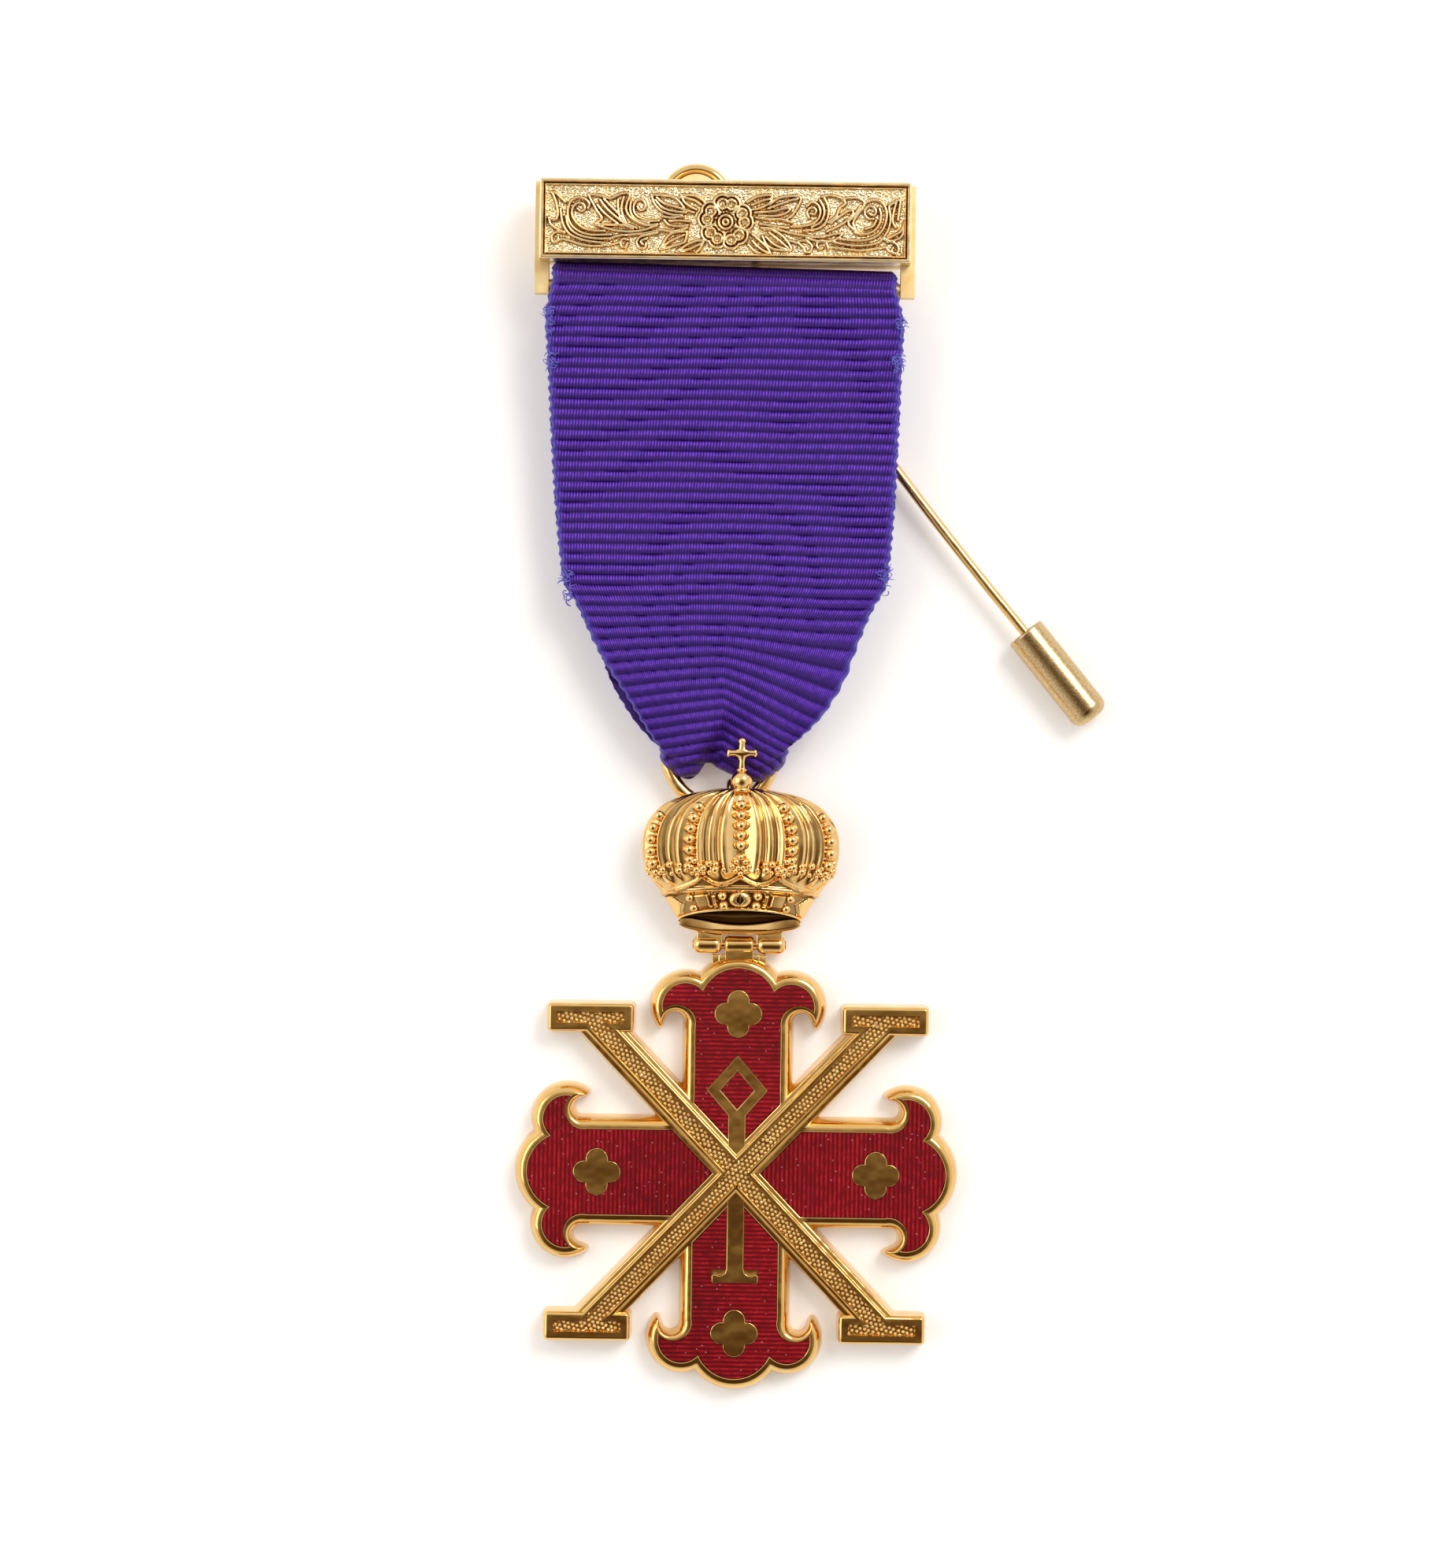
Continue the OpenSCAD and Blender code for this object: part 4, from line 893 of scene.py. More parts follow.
def crownHinge():
    # knuckles, their necks and plate, and the wire eye on the back
    c = crown
    start, end = c["knuckles"]
    half = c["plateHalf"]

    def flat(middle, width, shape):
        at, length, corner, low, high, edge = shape
        return bevelled(roundedBox((middle, at), (width, length), corner), low, high, edge)

    solids = []
    for s in (-1, 1):
        solids.append(knuckle(*sorted((s * start, s * end)), c["knuckleEdge"]))
        solids.append(flat(s * (start + half) / 2, half - start, c["neck"]))
    solids.append(flat(0, 2 * half, c["plate"]))
    x, z, low, high = c["eyeAt"]
    r = c["eyeR"]
    bend = np.linspace(math.pi, 2 * math.pi, 20)
    path = [(low + r * math.sin(a), z + r * math.cos(a)) for a in bend]
    path += [(high - r * math.sin(a), z + r * math.cos(a)) for a in bend[::-1]]
    solids.append(moved(tube(path, c["eyeWire"]), (x, 0, 0)))
    return solids


def finialSolids():
    # small cross with swelling ends, rounded like a cushion
    c = crown
    y0, z0 = c["orbAt"][1:]
    top, low, arms, mid = c["finialTop"], y0 + 0.6, c["finialArms"], y0 + 2.45
    right = [(0.34, low), (0.3, mid - 0.75), (0.34, mid - 0.42), (0.62, mid - 0.3),
             (0.98, mid - 0.3), (1.22, mid - 0.42), (arms, mid - 0.2), (arms + 0.02, mid),
             (arms, mid + 0.2), (1.22, mid + 0.42), (0.98, mid + 0.3), (0.62, mid + 0.3),
             (0.36, mid + 0.4), (0.32, mid + 0.8), (0.42, top - 0.4), (0.34, top - 0.12),
             (0.12, top)]
    outline = right + [(-x, y) for x, y in right[::-1]]
    levels = [(0.24, -0.4), (0.08, -0.3), (0.0, -0.12), (0.0, 0.06), (0.06, 0.22), (0.14, 0.32),
              (0.24, 0.38)]
    return [loft([atLevel(grow(outline, -by), z0 + z) for by, z in levels])]


print("crown made", makeCrownRelief(), makeCrownPearls())


# Ribbon: grosgrain loop from the rod through the jump ring

ribbon = {
    "rod": (78.4, 4.0), "wrapR": 1.65, "wall": 0.5, "barX": -2.12, "lowX": -1.6,
    "half": 15.75, "fall": 42.7, "frontZ": (5.65, 3.455), "backZ": (2.35, 0.32),
    # share of the drop, share of the fall from the rod to the gather, half width
    "front": [(0.0, 0.0, 15.2), (0.05, 0.07, 15.7), (0.16, 0.2, 15.6), (0.3, 0.32, 15.35),
              (0.45, 0.42, 15.0), (0.575, 0.48, 14.5), (0.61, 0.49, 14.3), (0.66, 0.5, 13.1),
              (0.75, 0.5, 11.5), (0.82, 0.52, 10.4), (0.885, 0.6, 9.0), (0.93, 0.78, 7.3),
              (0.965, 0.95, 5.8)],
    "back": [(0.965, 1.0, 5.7), (0.93, 1.0, 7.1), (0.885, 1.0, 8.7), (0.82, 0.98, 10.1),
             (0.75, 0.92, 11.2), (0.66, 0.45, 12.8), (0.6, 0.1, 14.1), (0.5, -0.13, 14.7),
             (0.3, -0.13, 15.2), (0.05, -0.08, 15.5), (0.0, 0.0, 15.2)],
    # lower edge of the two lobes, from the left
    "hem": [(-7.25, 36.72), (-6.42, 35.96), (-5.36, 35.42), (-4.59, 35.29), (-3.89, 35.72),
            (-3.14, 36.7), (-2.01, 36.24), (-1.17, 35.83), (-0.46, 35.6), (0.59, 35.2),
            (1.44, 35.05), (2.34, 35.4), (3.17, 36.0), (4.07, 37.0)],
    "hemRound": 1.0, "hemFrom": 45.0, "hemDrop": 0.965, "columns": 120,
    "ribPitch": 0.91, "ribRise": 0.3, "edgeW": 0.7, "threadPitch": 0.27,
    "crease": [(-0.4, 41.2), (-3.1, 36.6)], "creaseDepth": 1.3, "creaseW": 1.0,
    # the left edge's tuck: size, height and length; tilt of the ribs under the bar; swell
    "frontTuck": (1.25, 41.5, 3.6), "tilt": 0.27, "swell": (0.28, 5.2), "hemHalf": 5.6,
    # unevenness of the surface and of the ribs: size and wavelength; sag of the ribs
    "uneven": (0.06, 3.0), "ribUneven": (0.11, 6.0), "sag": 0.25,
    # slope of the ribs in the gather: right side, left side, and how it falls off on the right
    "leanFrom": -1.7, "lean": (0.62, 0.16, 0.02), "bead": 0.16, "edgeWave": (0.06, 0.09),
    "rowStep": 0.115, "backStep": 0.18, "insideSteps": (5, 7), "seed": 3,
}


def slowWave(x, y, seed, size):
    # smooth seeded unevenness of cloth, about -1 to 1
    rng = np.random.default_rng(seed)
    total = np.zeros_like(x)
    for _ in range(6):
        kx, ky, phase = rng.normal(0, 1 / size), rng.normal(0, 1 / size), rng.uniform(0, 6.28)
        total += np.sin(kx * x + ky * y + phase)
    return total / 3


def ribbonRows():
    # outer surface, row by row round the loop: y, z, normal y, normal z, half width, middle,
    # share taken over by the hem, angle of the hem's turn
    c = ribbon
    rodY, rodZ = c["rod"]
    rows = []

    def layer(table, zs, step, out):
        ends = np.array([table[0][0], table[-1][0]])
        count = int(abs(ends[1] - ends[0]) * c["fall"] / step)
        drops = np.linspace(ends[0], ends[1], count)
        values = smoothTable(table, drops)
        for drop, (fall, half) in zip(drops, values):
            y = rodY - c["fall"] * drop
            z = zs[0] + (zs[1] - zs[0]) * np.clip(fall, -0.15, 1)
            middle = c["barX"] + (c["lowX"] - c["barX"]) * min(1, drop / 0.8)
            share = rounded(c["hemFrom"] - y, 0, c["hemFrom"] - rodY + c["fall"] * c["hemDrop"])
            rows.append((y, z, 0.0, out, half, middle, share, 90.0 * out))

    layer(c["front"], c["frontZ"], c["rowStep"], 1.0)
    hemZ = (c["frontZ"][1] + c["backZ"][1]) / 2
    hemHigh = (c["frontZ"][1] - c["backZ"][1]) / 2
    for turn in np.linspace(90, -90, 26)[1:-1]:
        a = math.radians(turn)
        rows.append((rodY - c["fall"] * c["hemDrop"], hemZ + hemHigh * math.sin(a),
                     -math.cos(a), math.sin(a), 0, c["lowX"], 1.0, turn))
    layer(c["back"], c["backZ"], c["backStep"], -1.0)
    for turn in np.linspace(-90, 90, 36)[1:-1]:
        a = math.radians(turn)
        rows.append((rodY + c["wrapR"] * math.cos(a), rodZ + c["wrapR"] * math.sin(a),
                     math.cos(a), math.sin(a), c["front"][0][2], c["barX"], 0.0, turn))
    return np.array(rows)


def makeRibbon():
    c = ribbon
    rows = ribbonRows()
    n, m = len(rows), c["columns"]
    u = np.linspace(-1, 1, m)[None, :]
    # columns stand closer near the edges
    u = np.sign(u) * (1 - (1 - np.abs(u)) ** 1.12)
    y, z, ny, nz, half, middle, share, turn = (rows[:, k:k + 1] for k in range(8))
    front = nz > 0
    hem = np.array(c["hem"])
    hemAt = np.linspace(-1, 1, len(hem))
    hemX = np.interp(u, hemAt, hem[:, 0])
    hemY = smoothTable(np.column_stack([hemAt, hem[:, 1]]), u)[..., 0]
    x = middle + u * half
    # the front layer's left edge is tucked in, so that the back one shows beside it
    tuckBy, tuckY, tuckLong = c["frontTuck"]
    tuck = tuckBy * np.exp(-((y - tuckY) / tuckLong) ** 2) * (turn > 89)
    x = x + tuck * np.clip(-u, 0, 1) ** 3
    tilt = -c["tilt"] * u * rounded(y, 60, 80)
    yy = y + tilt + np.zeros_like(x)
    hemYs = hemY + c["hemRound"] * (1 - np.cos(np.radians(turn)))
    s = share ** 1.5
    x = x * (1 - s) + hemX * s
    yy = yy * (1 - s) + hemYs * s
    zz = z + np.zeros_like(x)
    # crease between the lobes, deepest at the hem
    (ax, ay), (bx, by) = c["crease"]
    t = np.clip((yy - ay) / (by - ay), 0, 1.15)
    off = x - (ax + (bx - ax) * t)
    wide = c["creaseW"] * np.where(off > 0, 1.5, 0.7)
    dip = c["creaseDepth"] * rounded(ay + 0.8 - yy, 0, 4.2) * np.exp(-(off / wide) ** 2)
    zz = zz - dip * np.clip(nz, 0, 1)
    # soft swell of the gathered cloth, then a slow unevenness
    high, wide = c["swell"]
    swell = high * np.sin(np.clip((x - ax) / wide, -1, 1) * np.pi) ** 2 * rounded(47 - yy, 0, 6)
    zz += swell * np.clip(nz, 0, 1)
    high, wave = c["uneven"]
    zz += high * slowWave(x, yy, c["seed"], wave) * front * rounded(78 - yy, 0, 4)
    # length along the cloth, which the ribs cross
    side = x - c["leanFrom"]
    right, left, less = c["lean"]
    lean = np.where(side > 0, right, left) * np.abs(side) - less * side ** 2 * (side > 0)
    lean = rounded(50 - yy, 0, 12) * lean
    high, wave = c["ribUneven"]
    along = (c["rod"][0] - yy) - lean * front + high * slowWave(x, yy, c["seed"] + 1, wave)
    along += c["sag"] * rounded(70 - yy, 0, 14) * np.exp(-((x + 2) / 7) ** 2)
    wrapped = (turn < 90) & (y > c["rod"][0] - 0.01) | ((y > c["rod"][0]) & (nz < 1))
    along = np.where(wrapped & (nz != -1), -c["wrapR"] * np.radians(90 - turn), along)
    phase = along / c["ribPitch"]
    f = np.abs(2 * (phase - np.floor(phase)) - 1)
    rib = c["ribRise"] * np.sqrt(np.clip(1 - 0.97 * f ** 2, 0, 1))
    inset = half * (1 - np.abs(u)) * (1 - s) + s * c["hemHalf"] * (1 - np.abs(u))
    edge = np.clip(1 - inset / c["edgeW"], 0, 1)
    bead = c["bead"] * np.sin(np.pi * np.clip(inset / c["edgeW"], 0, 1)) - 0.3 * edge ** 3
    upWave, outWave = c["edgeWave"]
    lift = rib * (1 - edge) + bead + upWave * edge * np.cos(2 * np.pi * phase)
    x = x + np.sign(u) * edge * outWave * np.cos(2 * np.pi * phase)
    outer = np.stack([x, yy + ny * lift, zz + nz * lift], axis=-1)
    inner = np.stack([x - np.sign(u) * 0.05 * edge, yy - ny * c["wall"], zz - nz * c["wall"]], -1)
    # the inside needs no ribs, so it is coarser, and the sides close the wall
    rowStep, colStep = c["insideSteps"]
    rowsIn, colsIn = list(range(0, n, rowStep)), list(range(0, m, colStep))
    if colsIn[-1] != m - 1:
        colsIn.append(m - 1)
    within = inner[np.ix_(rowsIn, colsIn)]
    k = len(colsIn)
    start = n * m
    points = np.concatenate([outer.reshape(-1, 3), within.reshape(-1, 3)])
    faces = []
    for i in range(n):
        a, b = i * m, (i + 1) % n * m
        faces += [(a + j, b + j, b + j + 1, a + j + 1) for j in range(m - 1)]
    count = len(rowsIn)
    for i in range(count):
        a, b = start + i * k, start + (i + 1) % count * k
        faces += [(a + j + 1, b + j + 1, b + j, a + j) for j in range(k - 1)]
        span = list(range(rowsIn[i], (rowsIn[i + 1] if i + 1 < count else n) + 1))
        faces.append(tuple([r % n * m for r in reversed(span)] + [a, b]))
        faces.append(tuple([r % n * m + m - 1 for r in span] + [b + k - 1, a + k - 1]))
    item = addPiece("grosgrain_ribbon", points, faces, grosgrain, "mounting", sharp=80)
    # threads follow the cloth: across it, and along it, in millimetres
    unseen = np.zeros(len(points) - start)
    for name, values in (("across", u * c["half"] + 0 * x), ("along", along), ("selvedge", edge)):
        addValues(item, name, np.append(values, unseen))
    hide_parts("ribbon")
    return item


def makeGrosgrain():
    # viscose grosgrain: fat weft ribs under fine slanted warp threads, with painted highlight on
    # their tops and painted shade at their feet
    material, tree, shader = newMaterial("violetGrosgrain")
    across = addNode(tree, "ShaderNodeAttribute", {"attribute_name": "across"}).outputs["Fac"]
    along = addNode(tree, "ShaderNodeAttribute", {"attribute_name": "along"}).outputs["Fac"]
    selvedge = addNode(tree, "ShaderNodeAttribute", {"attribute_name": "selvedge"}).outputs["Fac"]

    def compute(operation, a, b=None, c=None):
        node = addNode(tree, "ShaderNodeMath", {"operation": operation})
        for k, value in enumerate((a, b, c)):
            if isinstance(value, (int, float)):
                node.inputs[k].default_value = value
            elif value is not None:
                tree.links.new(value, node.inputs[k])
        return node.outputs[0]

    ribPhase = compute("DIVIDE", along, ribbon["ribPitch"])
    inRib = compute("FRACT", ribPhase)
    # warp threads, slanted within a rib and shifted from rib to rib
    slant = compute("MULTIPLY_ADD", inRib, 0.1, across)
    stagger = compute("MULTIPLY_ADD", compute("FLOOR", ribPhase), 0.115, slant)
    thread = compute("SINE", compute("MULTIPLY", stagger, 2 * math.pi / ribbon["threadPitch"]))
    uneven = addNode(tree, "ShaderNodeTexNoise", values={"Scale": 2600.0, "Detail": 2.0},
                     links={"Vector": addNode(tree, "ShaderNodeTexCoord").outputs["Object"]})
    dull = compute("MULTIPLY_ADD", uneven.outputs["Fac"], 0.5, 0.25)
    # painted highlight: each slanted thread is painted lighter along its crest, over the weave's
    # own pattern and a random tone
    lit = compute("MULTIPLY_ADD", thread, 0.26, dull)
    ramp = addNode(tree, "ShaderNodeValToRGB", links={"Fac": lit})
    setRamp(ramp, [(0.2, "#220A66"), (0.5, "#3E168E"), (0.85, "#824CD8")])
    # painted shade: each rib darkens towards its foot and in the valley, its lower flank turned
    # from the light
    shadeBand = addNode(tree, "ShaderNodeValToRGB", links={"Fac": inRib})
    setRamp(shadeBand, [(0.0, 0.8), (0.08, 0.2), (0.2, 0.0), (0.38, 0.08), (0.56, 0.62), (0.8, 0.8),
                   (1.0, 0.9)])
    shaded = addNode(tree, "ShaderNodeMix", {"data_type": "RGBA"}, {"B": linear("#1E0840")},
                     {"Factor": shadeBand.outputs["Color"], "A": ramp.outputs["Color"]})
    edged = addNode(tree, "ShaderNodeMix", {"data_type": "RGBA"}, {"B": linear("#4038A0")},
                    {"Factor": selvedge, "A": shaded.outputs["Result"]})
    tree.links.new(edged.outputs["Result"], shader.inputs["Base Color"])
    bump = addNode(tree, "ShaderNodeBump", values={"Strength": 0.6, "Distance": 0.00006},
                   links={"Height": thread})
    tree.links.new(bump.outputs["Normal"], shader.inputs["Normal"])
    setShader(shader, {"Roughness": 0.38, "Specular IOR Level": 0.7,
                       "Specular Tint": linear("#B48CFF"), "Sheen Weight": 0.08,
                       "Sheen Roughness": 0.4, "Sheen Tint": linear("#8A5AE8")})
    return material


tufts = {
    # side, height up the ribbon, count, length
    "at": [(-1, 76.2, 22, 0.5), (-1, 74.6, 10, 0.5), (-1, 71.6, 24, 0.55), (1, 75.1, 20, 0.5),
           (1, 71.9, 34, 0.55), (-1, 52.7, 20, 0.55), (-1, 51.3, 12, 0.6), (1, 53.1, 22, 0.6)],
    "thick": 0.07, "seed": 5,
}


def strand(path, radius, sides=5):
    # thin tapering thread that lies near the level plane
    path = np.array(path)
    ahead = np.gradient(path, axis=0)
    side = np.column_stack([-ahead[:, 1], ahead[:, 0], np.zeros(len(path))])
    side /= np.linalg.norm(side, axis=1)[:, None]
    loops = []
    for k, (at, across) in enumerate(zip(path, side)):
        r = radius * (1 - 0.6 * k / (len(path) - 1))
        loops.append([at + r * (math.cos(t) * across + math.sin(t) * np.array([0, 0, 1]))
                      for t in np.arange(sides) / sides * 2 * math.pi])
    return loft(loops)


def makeTufts(cloth):
    # loose threads of the selvedges, matted in small tufts on the front layer's edge
    material, _, shader = newMaterial("looseSilk")
    setShader(shader, {"Base Color": linear("#5E54BC"), "Roughness": 0.6, "Sheen Weight": 0.3})
    rng = np.random.default_rng(tufts["seed"])
    at = np.empty(3 * len(cloth.data.vertices), dtype=np.float32)
    cloth.data.vertices.foreach_get("co", at)
    at = at.reshape(-1, 3) / mm
    strands = []
    for side, y, count, length in tufts["at"]:
        row = at[np.abs(at[:, 1] - y) < 0.6]
        row = row[row[:, 2] > row[:, 2].max() - 1.2]
        edge = side * (side * row[:, 0]).max()
        near = row[np.abs(row[:, 0] - edge) < 0.9]
        z = near[:, 2].mean() + 0.12
        for _ in range(count):
            a = rng.uniform(0, 2 * math.pi)
            turn = rng.normal(0, 1.5)
            start = np.array([edge - side * rng.uniform(0.1, 0.8), y + rng.normal(0, 0.4), z])
            path = [start + np.array([math.cos(a + turn * t) * length * t,
                                      math.sin(a + turn * t) * length * t,
                                      0.3 * math.sin(math.pi * t)])
                    for t in np.linspace(0, 1, 7)]
            strands.append(strand(path, tufts["thick"]))
    item = addPiece("selvedge_tufts", *merge(strands), material, "mounting", sharp=80)
    print("tufts made", len(item.data.polygons))


grosgrain = makeGrosgrain()
makeTufts(makeRibbon())


# Bar panel: stamped scrolls, leaves and a flower on a stippled ground

panel = {
    "centre": (-2.12, 84.025), "size": (32.6, 7.05), "low": 4.8, "top": 6.98, "ground": 6.5,
    "step": 0.055, "rim": 0.3, "rimEdge": 0.07, "inner": (0.52, 0.1), "wire": 0.062, "relief": 0.3,
    # strokes in units of 0.0113 mm, y down, each half from its own zero in the panel's middle
    "unit": 0.0113, "zero": {"left": (1536, 383), "right": (30, 383)},
    "left": [
        [(185, 165), (205, 200), (225, 260), (235, 330), (225, 375)],
        [(185, 165), (215, 170), (255, 205), (290, 240)],
        [(165, 360), (195, 375), (225, 375)],
        [(165, 360), (180, 410), (225, 445), (290, 480)],
        [(255, 290), (265, 370), (285, 430), (330, 490), (420, 530), (520, 550), (640, 560)],
        [(285, 470), (235, 470), (198, 492), (190, 525), (205, 552), (235, 540), (240, 512)],
        [(205, 552), (260, 528), (330, 540), (420, 568), (520, 582), (640, 570), (715, 552)],
        [(385, 290), (415, 312), (442, 295), (438, 262), (405, 245), (365, 262), (345, 305),
         (350, 355), (385, 405), (440, 445), (520, 462), (600, 464)],
        [(470, 290), (478, 250), (440, 214), (390, 205), (345, 225), (318, 270), (312, 330),
         (325, 390), (362, 440), (425, 478), (510, 495), (650, 492)],
        [(300, 350), (312, 410), (350, 465), (420, 503), (520, 522), (640, 524)],
        [(470, 180), (500, 240), (540, 310), (578, 368), (530, 410), (600, 440), (700, 462),
         (800, 470), (900, 458), (1000, 424)],
        [(470, 180), (560, 190), (640, 212), (690, 190), (740, 174), (790, 182), (770, 250),
         (765, 300), (790, 350), (850, 395), (930, 420), (1010, 412)],
        [(745, 200), (728, 280), (738, 340), (765, 400)],
        [(700, 220), (704, 300), (722, 380)],
        [(560, 220), (610, 285), (680, 350), (755, 405), (850, 442)],
        [(590, 215), (650, 275), (705, 330), (750, 385)],
        [(540, 260), (590, 320), (650, 370), (700, 405)],
        [(530, 410), (620, 416), (740, 420), (820, 445)],
        [(850, 275), (868, 300), (898, 298), (915, 268), (900, 232), (862, 222), (832, 245),
         (822, 290), (838, 335), (880, 368), (950, 388), (1020, 384)],
        [(800, 240), (796, 300), (816, 350), (862, 385), (940, 404)],
        [(960, 185), (1080, 190), (1160, 222), (1215, 285)],
        [(960, 185), (985, 255), (1040, 310), (1120, 338), (1200, 345)],
        [(1000, 205), (1060, 250), (1160, 282), (1290, 322)],
        [(990, 225), (1050, 285), (1140, 312), (1230, 322)],
        [(1190, 185), (1290, 190), (1350, 220), (1392, 262)],
        [(1190, 185), (1212, 235), (1260, 275), (1310, 300)],
        [(1205, 205), (1290, 225), (1345, 262)],
        [(1060, 380), (1100, 418), (1180, 430), (1245, 420)],
        [(1050, 352), (1120, 362), (1200, 352)],
        [(1100, 385), (1190, 385), (1260, 392)],
        [(650, 520), (720, 500), (820, 492), (920, 482), (1030, 460), (1130, 468), (1240, 440)],
        [(780, 532), (745, 525), (725, 552), (735, 585), (765, 588), (778, 560)],
        [(1010, 480), (910, 500), (865, 520), (850, 560), (875, 596), (915, 592), (922, 560)],
        [(930, 520), (880, 545), (900, 570)],
        [(1030, 608), (1080, 520), (1130, 480), (1230, 468)],
        [(1030, 608), (1130, 582), (1220, 550), (1240, 470)],
        [(1030, 608), (1110, 545), (1215, 495)],
        [(1160, 622), (1240, 572), (1320, 542), (1375, 540)],
        [(1160, 622), (1280, 640), (1340, 600), (1375, 540)],
        [(1160, 622), (1260, 605), (1350, 562)],
    ],
    "right": [
        [(200, 240), (280, 200), (385, 190), (370, 250), (280, 292), (235, 300)],
        [(235, 262), (300, 235), (375, 215)],
        [(370, 260), (440, 212), (540, 195), (612, 205), (598, 262), (558, 330), (500, 380)],
        [(360, 290), (440, 262), (520, 232), (590, 215)],
        [(260, 322), (400, 312), (500, 288), (532, 300), (490, 330), (400, 350), (290, 345)],
        [(270, 362), (360, 372), (460, 375), (545, 400)],
        [(300, 410), (440, 432), (520, 440)],
        [(310, 440), (430, 452), (540, 482), (640, 500), (760, 512), (880, 490), (940, 482),
         (915, 515), (860, 540), (760, 545), (660, 520)],
        [(690, 330), (720, 335), (735, 308), (715, 285), (682, 290), (664, 322), (680, 362)],
        [(660, 275), (700, 242), (745, 262), (766, 310), (752, 370), (700, 412), (620, 430),
         (540, 432)],
        [(790, 200), (822, 260), (830, 330), (802, 408), (740, 450), (640, 462)],
        [(760, 225), (792, 280), (795, 340), (765, 400), (700, 435)],
        [(780, 200), (850, 190), (930, 215), (960, 250), (915, 290), (890, 350), (830, 400)],
        [(820, 470), (900, 430), (980, 380), (1022, 320), (990, 308), (920, 350), (850, 402)],
        [(930, 215), (1050, 210), (1110, 252), (1062, 330), (1022, 400), (1050, 478)],
        [(1080, 270), (1030, 345), (985, 400), (1010, 440), (1050, 478)],
        [(1150, 330), (1180, 345), (1200, 318), (1185, 285), (1150, 272), (1118, 292),
         (1112, 335), (1140, 370), (1180, 372)],
        [(1090, 300), (1120, 243), (1190, 225), (1250, 250), (1282, 320), (1275, 400),
         (1242, 470), (1180, 520), (1080, 540), (960, 532), (900, 520)],
        [(1225, 290), (1238, 350), (1222, 420), (1175, 470), (1100, 492), (1040, 480)],
        [(1200, 385), (1175, 430), (1120, 450)],
        [(1300, 280), (1312, 380), (1292, 460), (1240, 540), (1160, 572), (1040, 580), (920, 562),
         (840, 540)],
        [(830, 588), (960, 605), (1080, 616), (1200, 602), (1280, 590)],
        [(1360, 230), (1340, 300), (1330, 390), (1352, 440)],
        [(1300, 272), (1345, 240), (1385, 225), (1378, 300), (1368, 380)],
        [(1425, 395), (1400, 460), (1340, 502), (1265, 532)],
        [(1425, 440), (1395, 510), (1340, 540), (1290, 552)],
        [(1265, 532), (1350, 560), (1378, 602), (1360, 642), (1325, 625), (1335, 595)],
        [(1280, 590), (1310, 625), (1360, 642), (1420, 655), (1430, 560), (1440, 470)],
        [(830, 600), (815, 555), (775, 540), (742, 565), (755, 600), (785, 598)],
        [(600, 545), (660, 540), (705, 582), (692, 622), (655, 628), (645, 598)],
        [(520, 540), (600, 562), (645, 598)],
        [(330, 450), (400, 460), (470, 500), (522, 560), (540, 612), (430, 610), (360, 580),
         (318, 505)],
        [(370, 475), (440, 530), (520, 600)], [(345, 510), (410, 570), (500, 608)],
        [(210, 570), (260, 620), (340, 650), (385, 652), (360, 600), (300, 540), (240, 490)],
        [(240, 540), (300, 600), (370, 640)],
    ],
    # slant of the strokes' rows, height of the stippling, reach of a stroke's foot
    "slope": 0.014, "grain": 0.048, "reach": 0.34,
    "flowerAt": (0.02, -0.14), "flowerR": 2.42, "petals": (86, 14, -58, -130, 158),
    "petalAt": 1.62, "petalR": (0.78, 0.42), "lobeTurn": 14, "flutes": 30,
    # radii of the rosette's two rings and of the heart, then the ring of beads
    "rosette": (0.24, 0.6), "heartR": 0.85, "beads": (0.84, 0.16, 7), "seed": 11,
}


far = 9.0  # further than any distance in the panel's relief, in millimetres


def strokeDistance(x, y, line, reach):
    # distance to a smoothed stroke, kept to the cells within reach of it
    line = np.asarray(line, dtype=float)
    t = np.arange(len(line))
    fine = np.linspace(0, len(line) - 1, 5 * len(line))
    line = smoothTable(np.column_stack([t, line]), fine)
    near = np.full(x.shape, far)
    for (ax, ay), (bx, by) in zip(line[:-1], line[1:]):
        i = (x[:, 0] > min(ax, bx) - reach) & (x[:, 0] < max(ax, bx) + reach)
        j = (y[0] > min(ay, by) - reach) & (y[0] < max(ay, by) + reach)
        if not i.any() or not j.any():
            continue
        box = np.ix_(i, j)
        dx, dy = bx - ax, by - ay
        s = np.clip(((x[box] - ax) * dx + (y[box] - ay) * dy) / (dx * dx + dy * dy + 1e-9), 0, 1)
        near[box] = np.minimum(near[box], np.hypot(x[box] - ax - s * dx, y[box] - ay - s * dy))
    return near


